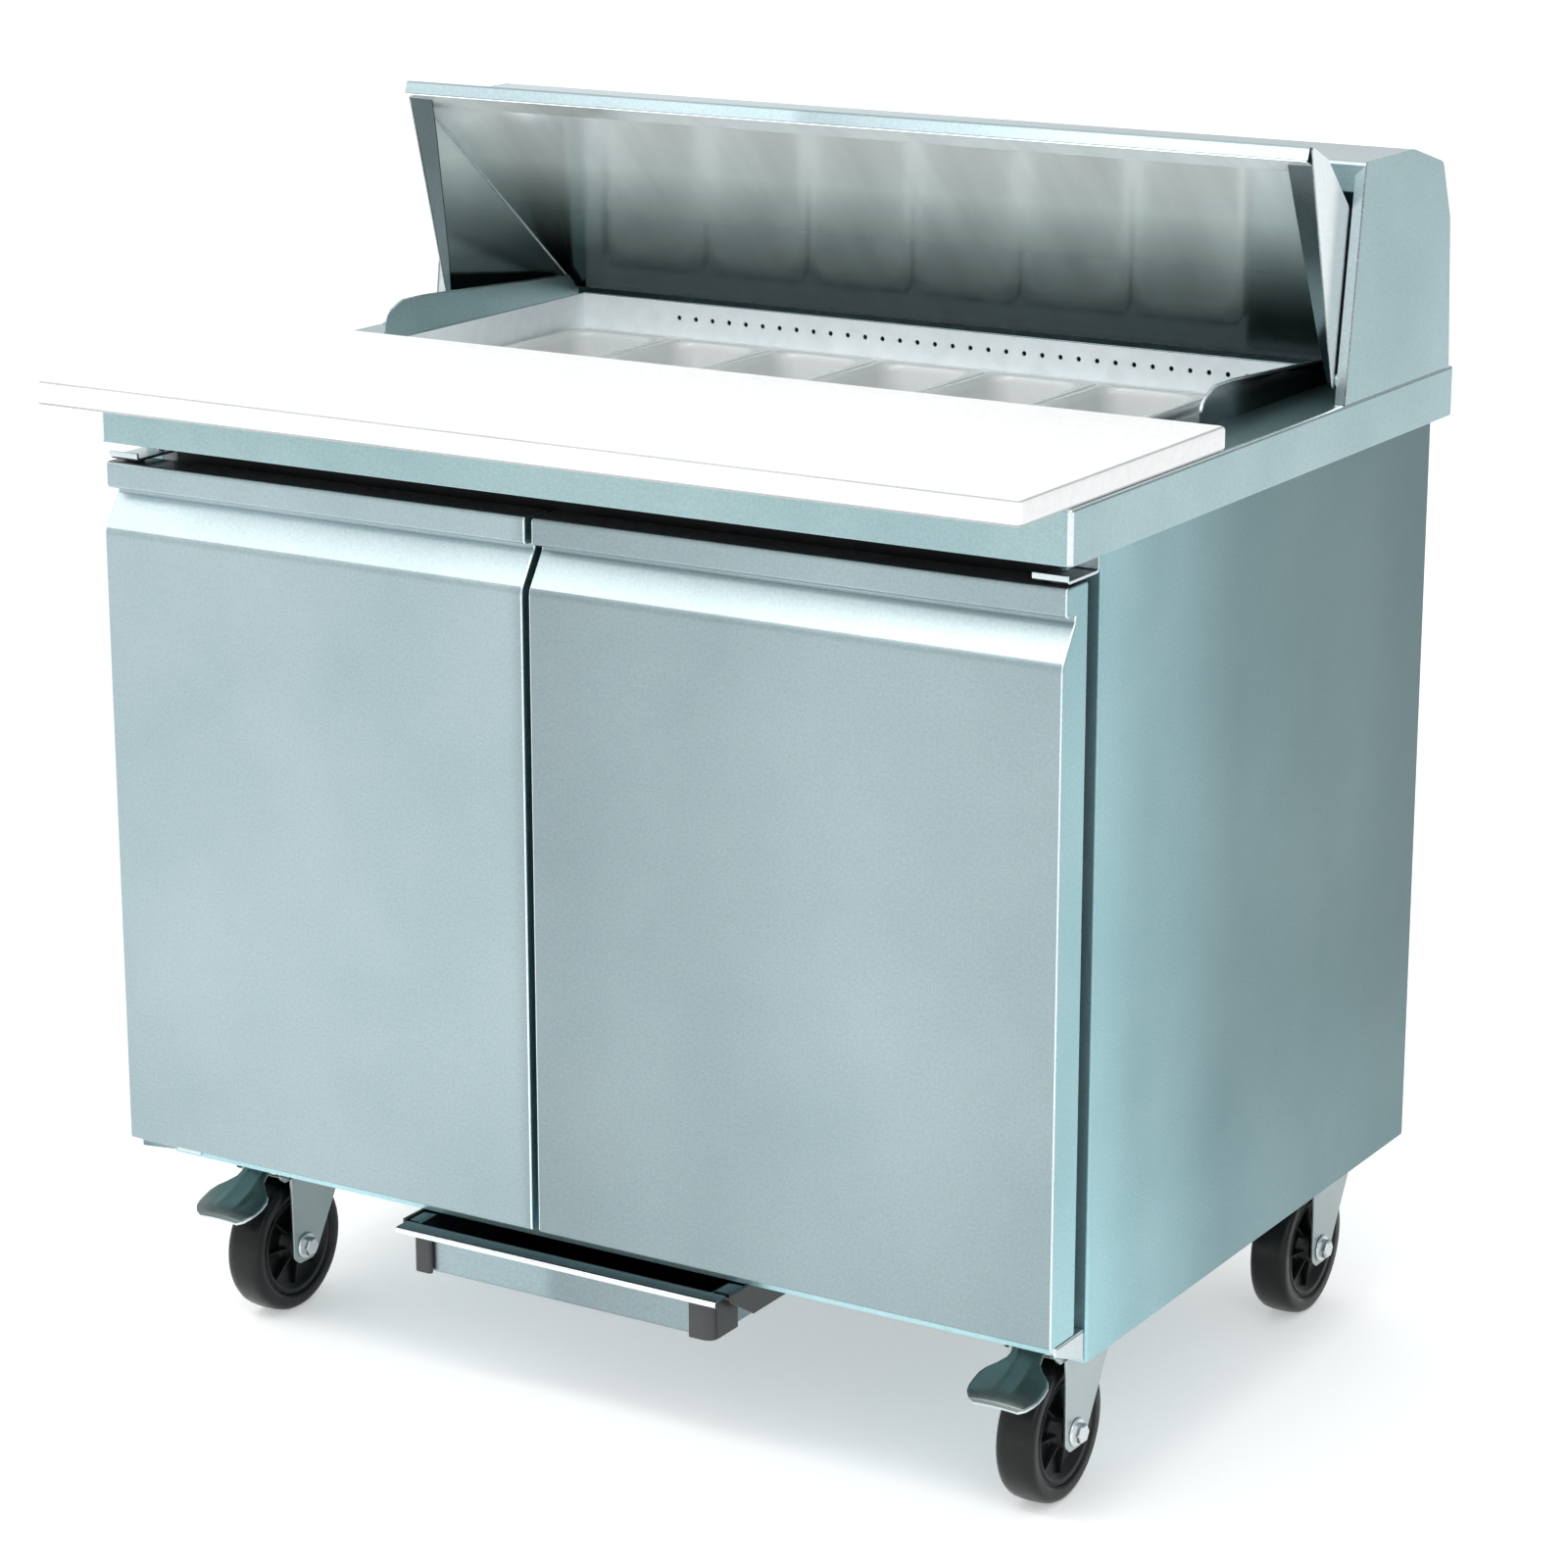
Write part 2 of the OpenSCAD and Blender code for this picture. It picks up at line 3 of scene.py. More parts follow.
import bmesh
import bpy
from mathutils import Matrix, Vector


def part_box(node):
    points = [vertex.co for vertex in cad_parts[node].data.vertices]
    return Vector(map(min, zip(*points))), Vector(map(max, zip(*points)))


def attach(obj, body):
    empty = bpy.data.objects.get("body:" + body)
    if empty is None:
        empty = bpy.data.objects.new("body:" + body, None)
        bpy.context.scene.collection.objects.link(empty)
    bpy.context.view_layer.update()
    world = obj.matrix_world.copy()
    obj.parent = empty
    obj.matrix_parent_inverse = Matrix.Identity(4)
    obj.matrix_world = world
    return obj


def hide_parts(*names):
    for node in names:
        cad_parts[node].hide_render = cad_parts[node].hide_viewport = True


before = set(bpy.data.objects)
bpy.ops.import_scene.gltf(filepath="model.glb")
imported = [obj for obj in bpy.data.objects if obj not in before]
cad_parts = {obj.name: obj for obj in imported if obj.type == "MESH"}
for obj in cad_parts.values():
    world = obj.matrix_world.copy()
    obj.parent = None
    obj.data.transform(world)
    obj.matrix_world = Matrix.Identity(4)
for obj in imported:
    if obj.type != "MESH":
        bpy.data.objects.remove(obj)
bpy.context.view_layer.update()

# All sizes below are millimetres: x from the middle, y back from the front
# skirt of the worktop, z up from the floor.
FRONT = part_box("worktop")[0].y


def at(x, y, z):
    return Vector((x / 1000, FRONT + y / 1000, z / 1000))


# ---------------------------------------------------------------- camera
cam_data = bpy.data.cameras.new("camera")
cam_data.lens = 100.2
cam_data.sensor_width = 36
cam_data.clip_start, cam_data.clip_end = 0.1, 60
cam = bpy.data.objects.new("camera", cam_data)
bpy.context.scene.collection.objects.link(cam)
cam.location = at(1914.1, -2778.3, 1515.9)
cam.rotation_euler = (math.radians(90 - 15.61), 0, math.radians(31.48))
bpy.context.scene.camera = cam
bpy.context.scene.view_settings.view_transform = "Standard"


# ------------------------------------------------------------- materials
def nodes_of(name):
    m = bpy.data.materials.new(name)
    m.use_nodes = True
    nt = m.node_tree
    return m, nt, nt.nodes["Principled BSDF"]


def link(nt, a, b):
    nt.links.new(a, b)


def noise(nt, scale, stretch=(1, 1, 1), detail=3.0, rough=0.55):
    co = nt.nodes.new("ShaderNodeTexCoord")
    mp = nt.nodes.new("ShaderNodeMapping")
    mp.inputs["Scale"].default_value = stretch
    tx = nt.nodes.new("ShaderNodeTexNoise")
    tx.inputs["Scale"].default_value = scale
    tx.inputs["Detail"].default_value = detail
    tx.inputs["Roughness"].default_value = rough
    link(nt, co.outputs["Object"], mp.inputs["Vector"])
    link(nt, mp.outputs["Vector"], tx.inputs["Vector"])
    return tx.outputs["Fac"]


def ramp(nt, fac, stops):
    r = nt.nodes.new("ShaderNodeValToRGB")
    e = r.color_ramp.elements
    while len(e) < len(stops):
        e.new(0.5)
    for k, (pos, col) in zip(e, stops):
        k.position = pos
        k.color = (*col, 1) if len(col) == 3 else col
    link(nt, fac, r.inputs["Fac"])
    return r.outputs["Color"]


def grey(v):
    return (v, v, v)


def mix(nt, fac, a, b, mode="MIX"):
    m = nt.nodes.new("ShaderNodeMix")
    m.data_type = "RGBA"
    m.blend_type = mode
    if isinstance(fac, (int, float)):
        m.inputs["Factor"].default_value = fac
    else:
        link(nt, fac, m.inputs["Factor"])
    link(nt, a, m.inputs["A"])
    link(nt, b, m.inputs["B"])
    return m.outputs["Result"]


def bump(nt, bsdf, height, strength, distance, normal=None):
    b = nt.nodes.new("ShaderNodeBump")
    b.inputs["Strength"].default_value = strength
    b.inputs["Distance"].default_value = distance
    link(nt, height, b.inputs["Height"])
    if normal is not None:
        link(nt, normal, b.inputs["Normal"])
    link(nt, b.outputs["Normal"], bsdf.inputs["Normal"])
    return b.outputs["Normal"]


def position(nt, axis, low, high, stops):
    """Painted shade: a tone that changes slowly along one axis, given in millimetres, to multiply
    into a colour.
    """
    co = nt.nodes.new("ShaderNodeTexCoord")
    sp = nt.nodes.new("ShaderNodeSeparateXYZ")
    link(nt, co.outputs["Object"], sp.inputs["Vector"])
    mr = nt.nodes.new("ShaderNodeMapRange")
    off = FRONT if axis == "Y" else 0
    mr.inputs["From Min"].default_value = low / 1000 + off
    mr.inputs["From Max"].default_value = high / 1000 + off
    link(nt, sp.outputs[axis], mr.inputs["Value"])
    r = ramp(nt, mr.outputs["Result"], [(a, grey(b)) for a, b in stops])
    r.node.color_ramp.interpolation = "EASE"
    return r


def steel(name, low, high, rough=(0.30, 0.42), along="x", grain=0.12, painted_shades=()):
    """Brushed sheet: fine lines along one axis, a cloudy tone, and painted shade from slow
    gradients along given axes.
    """
    m, nt, b = nodes_of(name)
    s = {"x": (6, 160, 160), "y": (160, 6, 160), "z": (160, 160, 6)}[along]
    lines = noise(nt, 9.0, s, 4.0, 0.7)
    cloud = noise(nt, 5.0, (1, 1, 1), 3.0)
    speck = noise(nt, 420.0, (1, 1, 1), 2.0, 0.6)
    base = ramp(nt, cloud, [(0.3, low), (0.7, high)])
    tone = ramp(nt, speck, [(0.3, grey(0.86)), (0.7, grey(1.0))])
    streak = ramp(nt, lines, [(0.3, grey(0.93)), (0.7, grey(1.0))])
    c = mix(nt, 1.0, base, tone, "MULTIPLY")
    c = mix(nt, 1.0, c, streak, "MULTIPLY")
    # painted shade: each slow gradient multiplies the colour
    for sh in painted_shades:
        c = mix(nt, 1.0, c, position(nt, *sh), "MULTIPLY")
    link(nt, c, b.inputs["Base Color"])
    link(nt, ramp(nt, lines, [(0.25, grey(rough[0])), (0.75, grey(rough[1]))]),
         b.inputs["Roughness"])
    b.inputs["Metallic"].default_value = 1.0
    bump(nt, b, lines, grain, 0.0002)
    return m


def coated(name, low, high, rough=(0.4, 0.5), metal=0.0, scale=60.0,
           strength=0.08, coat=0.0):
    m, nt, b = nodes_of(name)
    n = noise(nt, scale, (1, 1, 1), 4.0)
    w = noise(nt, 7.0, (1, 1, 1), 2.0)
    a = ramp(nt, w, [(0.35, low), (0.65, high)])
    t = ramp(nt, n, [(0.3, grey(0.92)), (0.7, grey(1.0))])
    link(nt, mix(nt, 1.0, a, t, "MULTIPLY"), b.inputs["Base Color"])
    link(nt, ramp(nt, n, [(0.3, grey(rough[0])), (0.7, grey(rough[1]))]),
         b.inputs["Roughness"])
    b.inputs["Metallic"].default_value = metal
    if coat:
        b.inputs["Coat Weight"].default_value = coat
        b.inputs["Coat Roughness"].default_value = 0.12
    bump(nt, b, n, strength, 0.0004)
    return m


M = {}
# Door front steel. Its colour carries painted shade: a dark dip at the gap between the doors that
# eases off across the right door, and darker towards the bottom.
M["front"] = steel("steel_front_painted_shade", (0.39, 0.50, 0.53), (0.45, 0.56, 0.59), along="x",
                   painted_shades=[("X", -460, 460, [(0.0, 1.0), (0.45, 0.98), (0.475, 0.72),
                                             (0.62, 0.80), (0.8, 0.90), (1.0, 0.84)]),
                           ("Z", 187, 790, [(0.0, 0.86), (0.4, 0.95), (1.0, 1.0)])])
# Lighter copy of the front steel: painted light for faces that catch the light. Its painted shade
# runs from lighter at the left to darker at the right.
M["band"] = steel("steel_band_painted_light", (0.56, 0.67, 0.70), (0.62, 0.73, 0.76), along="x",
                  painted_shades=[("X", -460, 460, [(0.0, 1.1), (0.45, 1.0), (0.7, 0.86),
                                            (1.0, 0.84)])])
# Darker copy of the steel: painted shade for the side panels, the door ends, the crossbars under
# the worktop and the base plate. It darkens further towards the rear and is lighter near the front
# edge and the bottom, as painted shade and painted light.
M["side"] = steel("steel_side_painted_shade", (0.28, 0.47, 0.50), (0.35, 0.54, 0.57),
                  (0.36, 0.48), "z",
                  painted_shades=[("Y", 55, 668, [(0.0, 1.12), (0.16, 0.86), (0.42, 0.56),
                                          (0.72, 0.50), (1.0, 0.42)]),
                          ("Z", 156, 806, [(0.0, 1.25), (0.35, 1.0), (1.0, 0.96)])])
M["top"] = steel("steel_top", (0.33, 0.48, 0.50), (0.43, 0.58, 0.60),
                 (0.28, 0.38), "x")
# Lighter copy of the steel: painted light on parts and faces that should look bright.
M["light"] = steel("steel_painted_light", (0.62, 0.72, 0.74), (0.74, 0.83, 0.85),
                   (0.26, 0.36), "x")
# Near-white copy of the steel: painted highlight on edges and rims.
M["rim"] = steel("steel_painted_highlight", (0.80, 0.88, 0.90), (0.90, 0.96, 0.97),
                 (0.22, 0.30), "x")
M["dark"] = steel("steel_shade", (0.08, 0.11, 0.115), (0.15, 0.19, 0.20),
                  (0.14, 0.22), "x", 0.04)
# Near-white coat with little metal for the well walls: painted light, lighter than the steel it
# stands for.
M["wall"] = coated("steel_satin_painted_light", (0.86, 0.93, 0.95), (0.92, 0.97, 0.98),
                   (0.42, 0.55), 0.1)


def mirror_steel():
    """Polished sheet with a painted reflection: by height, its colour falls from near white at the
    top to near black towards the pivots.
    """
    m, nt, b = nodes_of("steel_polished_painted_reflection")
    co = nt.nodes.new("ShaderNodeTexCoord")
    sp = nt.nodes.new("ShaderNodeSeparateXYZ")
    link(nt, co.outputs["Object"], sp.inputs["Vector"])
    mr = nt.nodes.new("ShaderNodeMapRange")
    mr.inputs["From Min"].default_value = 0.86
    mr.inputs["From Max"].default_value = 1.05
    link(nt, sp.outputs["Z"], mr.inputs["Value"])
    painted_reflection = ramp(nt, mr.outputs["Result"],
                [(0.0, (0.03, 0.045, 0.045)), (0.2, (0.09, 0.12, 0.12)),
                 (0.42, (0.36, 0.44, 0.43)), (0.7, (0.80, 0.90, 0.88)),
                 (1.0, (0.96, 1.0, 1.0))])
    lines = noise(nt, 3.0, (11, 0.8, 0.8), 2.0)
    c = mix(nt, 1.0, painted_reflection, ramp(nt, lines, [(0.35, grey(0.90)), (0.65, grey(1.0))]),
            "MULTIPLY")
    link(nt, c, b.inputs["Base Color"])
    link(nt, ramp(nt, mr.outputs["Result"], [(0.15, grey(0.97)), (0.7, grey(0.45))]),
         b.inputs["Metallic"])
    link(nt, ramp(nt, lines, [(0.3, grey(0.10)), (0.7, grey(0.17))]),
         b.inputs["Roughness"])
    bump(nt, b, lines, 0.03, 0.0004)
    return m


M["mirror"] = mirror_steel()
M["white"] = coated("board_plastic", (0.90, 0.90, 0.895), (0.93, 0.93, 0.925),
                    (0.38, 0.5), 0, 140.0, 0.05)
M["liner"] = coated("liner_coat", (0.80, 0.83, 0.84), (0.86, 0.88, 0.89))
M["foam"] = coated("foam", (0.80, 0.72, 0.48), (0.86, 0.79, 0.56), (0.8, 0.95),
                   0, 220.0, 0.5)
M["gasket"] = coated("gasket_rubber", (0.035, 0.04, 0.045), (0.055, 0.06, 0.065),
                     (0.45, 0.6), 0, 200.0, 0.15)
M["wire"] = coated("coated_wire", (0.72, 0.74, 0.75), (0.8, 0.82, 0.83), (0.3, 0.4))
# Black paint for the black parts. It is also used as painted shade on the tops of the doors and on
# the frame above them.
M["black"] = coated("black_paint_and_painted_shade", (0.018, 0.018, 0.02), (0.03, 0.03, 0.032),
                    (0.3, 0.42), 0, 160.0, 0.12, 0.3)
M["fins"] = steel("fin_aluminium", (0.75, 0.77, 0.78), (0.84, 0.86, 0.87),
                  (0.35, 0.45), "z")
M["tread"] = coated("tread_rubber", (0.003, 0.004, 0.004), (0.006, 0.007, 0.007),
                    (0.25, 0.38), 0, 90.0, 0.1)
M["hub"] = coated("hub_plastic", (0.003, 0.004, 0.004), (0.009, 0.010, 0.011),
                  (0.34, 0.46), 0, 120.0, 0.1)
for k in ("tread", "hub"):
    M[k].node_tree.nodes["Principled BSDF"].inputs["Specular IOR Level"].default_value = 0.3
M["zinc"] = coated("zinc_plate", (0.36, 0.42, 0.42), (0.50, 0.56, 0.56),
                   (0.30, 0.46), 1.0, 240.0, 0.15)
M["pedal"] = coated("pedal_plate", (0.17, 0.21, 0.20), (0.27, 0.31, 0.30),
                    (0.28, 0.42), 1.0, 240.0, 0.15)
# Grey coat for the rounded edges of the board: painted shade lines.
M["edge"] = coated("board_edge_painted_shade", (0.40, 0.43, 0.42), (0.48, 0.50, 0.49),
                   (0.4, 0.5), 0, 140.0, 0.05)
M["bolt"] = coated("bright_bolt", (0.62, 0.66, 0.67), (0.78, 0.82, 0.83),
                   (0.18, 0.3), 1.0, 200.0, 0.08)
M["copper"] = coated("copper_tube", (0.62, 0.29, 0.17), (0.72, 0.36, 0.22),
                     (0.25, 0.4), 1.0, 120.0, 0.08)


def clear_plastic():
    m, nt, b = nodes_of("clear_plastic")
    n = noise(nt, 60.0, (1, 1, 1), 3.0)
    link(nt, ramp(nt, n, [(0.3, (0.93, 0.97, 0.97)), (0.7, (0.97, 0.99, 0.99))]),
         b.inputs["Base Color"])
    link(nt, ramp(nt, n, [(0.3, grey(0.05)), (0.7, grey(0.10))]), b.inputs["Roughness"])
    b.inputs["Transmission Weight"].default_value = 0.2
    b.inputs["IOR"].default_value = 1.5
    bump(nt, b, n, 0.05, 0.0004)
    return m


M["clear"] = clear_plastic()


# ---------------------------------------------------------- mesh building
class Mesh:
    """Collects rings of points into one mesh."""

    def __init__(self):
        self.v, self.f = [], []

    def rings(self, rings, cap0=True, cap1=True, wrap=False, closed=True):
        b, n = len(self.v), len(rings[0])
        for r in rings:
            self.v += [tuple(p) for p in r]
        count = len(rings)
        for i in range(count if wrap else count - 1):
            for j in range(n if closed else n - 1):
                k, i1 = (j + 1) % n, (i + 1) % count
                self.f.append((b + i * n + j, b + i * n + k, b + i1 * n + k,
                               b + i1 * n + j))
        if cap0 and not wrap:
            self.f.append(tuple(b + j for j in reversed(range(n))))
        if cap1 and not wrap:
            self.f.append(tuple(b + (count - 1) * n + j for j in range(n)))
        return self

    def prism_x(self, outline, x0, x1):
        """An outline in y and z, drawn out along x."""
        return self.rings([[at(x, p[0], p[1]) for p in outline] for x in (x0, x1)])

    def prism_z(self, outline, z0, z1):
        return self.rings([[at(p[0], p[1], z) for p in outline] for z in (z0, z1)])

    def box(self, a, b):
        return self.prism_z([(a[0], a[1]), (b[0], a[1]), (b[0], b[1]), (a[0], b[1])],
                            a[2], b[2])

    def lathe(self, profile, centre, axis="x", n=48, wrap=True):
        """profile is a list of (radius, height along the axis)."""
        rings = []
        for r, h in profile:
            ring = []
            for k in range(n):
                a = 2 * math.pi * k / n
                u, w = r * math.cos(a), r * math.sin(a)
                if axis == "x":
                    d = (h, u, w)
                elif axis == "y":
                    d = (w, h, u)
                else:
                    d = (u, w, h)
                ring.append(at(centre[0] + d[0], centre[1] + d[1], centre[2] + d[2]))
            rings.append(ring)
        return self.rings(rings, not wrap, not wrap, wrap)

    def make(self, name, material, body, bevel=0.8, seg=2, replaces=(),
             angle=38):
        me = bpy.data.meshes.new(name)
        me.from_pydata(self.v, [], self.f)
        bm = bmesh.new()
        bm.from_mesh(me)
        bmesh.ops.recalc_face_normals(bm, faces=bm.faces)
        bm.to_mesh(me)
        bm.free()
        me.polygons.foreach_set("use_smooth", [True] * len(me.polygons))
        me.materials.append(M[material])
        o = bpy.data.objects.new(name, me)
        bpy.context.scene.collection.objects.link(o)
        if bevel:
            m = o.modifiers.new("edge", "BEVEL")
            m.width = bevel / 1000
            m.segments = seg
            m.limit_method = "ANGLE"
            m.angle_limit = math.radians(angle)
            m.use_clamp_overlap = True
        w = o.modifiers.new("flat", "WEIGHTED_NORMAL")
        w.keep_sharp = True
        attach(o, body)
        if replaces:
            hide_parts(*replaces)
        return o


def tint(o, key, test):
    """Gives the faces that pass the test another material."""
    o.data.materials.append(M[key])
    k = len(o.data.materials) - 1
    for f in o.data.polygons:
        c = f.center
        if test(Vector((c.x * 1000, (c.y - FRONT) * 1000, c.z * 1000)), f.normal):
            f.material_index = k


def fillet(pts, rad, n=5, closed=True):
    """Rounds the corners of a path; rad is one radius or one per point."""
    out, m = [], len(pts)
    for i in range(m):
        r = rad[i] if isinstance(rad, (list, tuple)) else rad
        p = Vector(pts[i][:2])
        if r <= 0 or (not closed and i in (0, m - 1)):
            out.append(p)
            continue
        a, b = Vector(pts[i - 1][:2]) - p, Vector(pts[(i + 1) % m][:2]) - p
        la, lb = a.length, b.length
        a.normalize()
        b.normalize()
        ang = a.angle(b)
        if ang > math.pi - 0.01:
            out.append(p)
            continue
        t = min(r / math.tan(ang / 2), la * 0.49, lb * 0.49)
        rr = t * math.tan(ang / 2)
        c = p + (a + b).normalized() * (rr / math.sin(ang / 2))
        s, e = p + a * t - c, p + b * t - c
        a0, a1 = math.atan2(s.y, s.x), math.atan2(e.y, e.x)
        d = (a1 - a0 + math.pi) % (2 * math.pi) - math.pi
        for k in range(n + 1):
            g = a0 + d * k / n
            out.append(c + Vector((math.cos(g), math.sin(g))) * rr)
    return out


def strip(pts, t, rad=2.0, n=4):
    """Outline of a sheet of thickness t that follows an open path."""
    c = fillet(pts, rad, n, False)
    left, right = [], []
    for i, p in enumerate(c):
        d = (c[min(i + 1, len(c) - 1)] - c[max(i - 1, 0)]).normalized()
        nn = Vector((-d.y, d.x)) * (t / 2)
        left.append(p + nn)
        right.append(p - nn)
    return left + right[::-1]


def rrect(x0, x1, y0, y1, r, n=5):
    """Rounded rectangle, as points in x and y."""
    return fillet([(x0, y0), (x1, y0), (x1, y1), (x0, y1)], r, n)


def ring_at(loop, z):
    return [at(p[0], p[1], z) for p in loop]


# ---------------------------------------------------------------- worktop
W, D = 460.0, 705.0


def worktop():
    m = Mesh()
    # outside, from the underside return up over the edge to the opening
    steps = [(13, 807.4), (13, 806), (1.2, 806), (0.3, 806.4), (0, 807.5),
             (0, 847), (0.35, 848.6), (1.3, 849.6), (3, 850)]
    loops = []
    for inset, z in steps:
        loops.append(ring_at(rrect(-W + inset, W - inset, inset, D - inset,
                                   max(3.5 - inset, 0.6), 5), z))
    for e, r, z in ((402.9, 2.6, 850), (402.0, 2.0, 849.3), (402.0, 2.0, 848.4)):
        loops.append(ring_at(rrect(-e, e, 261.5 - (e - 402), 640 + (e - 402), r, 5), z))
    for inset, z in ((1.6, 848.4), (1.6, 807.4)):
        loops.append(ring_at(rrect(-W + inset, W - inset, inset, D - inset, 2, 5), z))
    m.rings(loops, wrap=True)
    o = m.make("worktop_sheet", "top", "cabinet", 0, replaces=["worktop"])
    # painted highlight along the rim and down the two front corners, in the bright rim steel
    tint(o, "rim", lambda c, n: (848.8 < c.z and (abs(c.x) > 457.5 or c.y < 2.5))
         or (c.y < 3.2 and abs(c.x) > 457 and 808 < c.z))


worktop()

rail = fillet([(322, 848.6), (327, 872), (350, 881.4), (382, 881.4), (616, 868),
               (631, 853.5), (631, 848.6)], [0, 16, 30, 30, 4, 3, 0], 7)
for side, s in (("left", -1), ("right", 1)):
    m = Mesh()
    x0, x1 = sorted((s * 402.0, s * 403.6))
    m.prism_x(rail, x0, x1)
    # the right rail takes the dark steel, a painted shade; the left rail takes the top steel
    m.make(f"rail_{side}", "top" if s < 0 else "dark", "cabinet", 0.5)
    # rolled edge along the top of the rail, in the bright rim steel: a painted highlight
    m = Mesh()
    path = [p for p in rail if p.y > 850.5]
    ring = []
    for i, p in enumerate(path):
        d = (path[min(i + 1, len(path) - 1)] - path[max(i - 1, 0)]).normalized()
        nn = Vector((-d.y, d.x))
        loop = []
        for k in range(8):
            a = 2 * math.pi * k / 8
            q = p + nn * (1.5 * math.sin(a))
            loop.append(at(s * 403.6 + 1.5 * math.cos(a), q.x, q.y))
        ring.append(loop)
    m.rings(ring)
    m.make(f"rail_edge_{side}", "rim", "cabinet", 0)

# crossbars under the sheet
m = Mesh()
for y in (100, 230, 655):
    m.prism_x(strip([(y - 12, 847.6), (y, 847.6), (y, 806.8), (y + 12, 806.8)], 1.4, 2),
              -457, 457)
m.make("worktop_bars", "side", "cabinet", 0.3)

# ---------------------------------------------------------- cutting board
m = Mesh()
loops = []
for inset, z in ((3, 850.5), (0.9, 851.2), (0, 853), (0, 867), (0.9, 869), (3, 870)):
    loops.append(ring_at(rrect(-460 + inset, 460 - inset, -80 + inset, 258 - inset,
                               max(5 - inset, 1), 6), z))
m.rings(loops)
o = m.make("board", "white", "board", 0, replaces=["cutting_board"])
# painted shade: the rounded edges of the board take the grey edge coat
tint(o, "edge", lambda c, n: 868.0 < c.z < 869.98 or 851.3 < c.z < 852.9)

# ----------------------------------------------------------------- doors


def door(side, x0, x1, s):
    body = f"door_{side}"
    hx = s * 441.0
    prof = fillet([(33.2, 789.8), (1, 789.8), (1, 767), (15.5, 767), (15.5, 761.5),
                   (-4, 731), (-4, 187.2), (33.2, 187.2)],
                  [0.6, 3.5, 3.0, 3.0, 5.0, 16, 2.6, 0.6], 6)
    # the front skin is one sheet with its ends folded back
    rings = []
    for x, shrink in ((x0, 1.6), (x0 + 0.45, 0.45), (x0 + 1.6, 0), (x1 - 1.6, 0),
                      (x1 - 0.45, 0.45), (x1, 1.6)):
        ring = []
        for p in prof:
            y = p.x + shrink if p.x < 30 else p.x
            z = p.y - shrink if p.y > 770 else (p.y + shrink if p.y < 190 else p.y)
            ring.append(at(x, y, z))
        rings.append(ring)
    m = Mesh()
    m.rings(rings)
    o = m.make(f"{body}_skin", "front", body, 0,
               replaces=[f"{body}_shell"])
    # painted highlight: the rounded ends of the front face take the bright rim steel
    tint(o, "rim", lambda c, n: (c.x < x0 + 1.5 or c.x > x1 - 1.5) and c.y < 20)
    # painted light: the sloped face of the recess takes the lighter band steel
    tint(o, "band", lambda c, n: 733 < c.z < 760 and n.z > 0.2 and x0 + 1.5 < c.x < x1 - 1.5)
    # painted shade: the end faces take the darker side steel
    tint(o, "side", lambda c, n: abs(n.x) > 0.9)
    # painted shade: the top face of the door is black
    tint(o, "black", lambda c, n: n.z > 0.9 and c.z > 785)
    # rear liner with a raised rim and a sunk panel
    m = Mesh()
    loops = []
    for inset, y in ((1.5, 33.25), (1.5, 34.0), (26, 34.0), (31, 31.0), (44, 30.0),
                     (50, 28.0)):
        loops.append([at(p[0], y, p[1]) for p in
                      rrect(x0 + inset, x1 - inset, 187 + inset, 790 - inset, 5, 4)])
    m.rings(loops, cap0=False)
    m.make(f"{body}_inner", "liner", body, 0,
           replaces=[f"{body}_core"])
    # magnetic gasket: a soft tube with a dart, swept round the door
    gx0, gx1 = (-443, x1 - 10) if s < 0 else (x0 + 10, 443)
    sec = [(0, 34), (13, 34), (13.5, 38), (10.5, 41), (10.5, 43), (14, 46), (14, 53.5),
           (12.5, 55.4), (1.5, 55.4), (0, 53.5), (0, 46), (3, 43), (3, 41), (0.5, 38)]
    rings = []
    for inset, y in sec:
        rings.append([at(p[0], y, p[1]) for p in
                      rrect(gx0 + inset, gx1 - inset, 197 + inset, 778 - inset, 1.0, 3)])
    m = Mesh()
    m.rings(rings, wrap=True)
    m.make(f"{body}_seal", "gasket", body, 0,
           replaces=[f"{body}_gasket"])
    # nylon bushes where the pins enter
    m = Mesh()
    for z, h in ((789.6, 1.1), (186.3, 1.1)):
        m.lathe([(4.3, 0), (8, 0), (8, h), (4.3, h)], (hx, 20, z), "z", 32)
    m.make(f"{body}_bush", "black", body, 0.2)


door("left", -457.0, -29.0, -1)
door("right", -23.0, 457.0, 1)

# ---------------------------------------------------------------- cabinet
for side, s in (("left", -1), ("right", 1)):
    m = Mesh()
    path = [(s * 440, 56.6), (s * 456.3, 56.6), (s * 456.3, 667.3), (s * 438, 667.3)]
    m.prism_z(strip(path, 1.4, 2.2, 5), 156, 805.5)
    # the side panels take the darker side steel with its painted shade
    m.make(f"panel_{side}", "side", "cabinet", 0.4,
           replaces=[f"side_panel_{side}"])

# rear sheet with pressed louvres
m = Mesh()
m.box((-437, 666.6, 158), (437, 668, 182))
m.box((-437, 666.6, 360), (437, 668, 805.4))
for a, b in ((-437, -252), (-28, 28), (252, 437)):
    m.box((a, 666.6, 182), (b, 668, 360))
for i in range(9):
    z = 184 + i * 20
    for a, b in ((-252, -28), (28, 252)):
        m.prism_x(strip([(667.3, z - 4), (667.3, z + 1), (661, z + 10), (667.3, z + 15)],
                        1.2, 1.5, 3), a, b)
m.box((-252, 666.6, 354), (-28, 668, 362))
m.box((28, 666.6, 354), (252, 668, 362))
m.make("rear_sheet", "top", "cabinet", 0.3, replaces=["back_panel"])

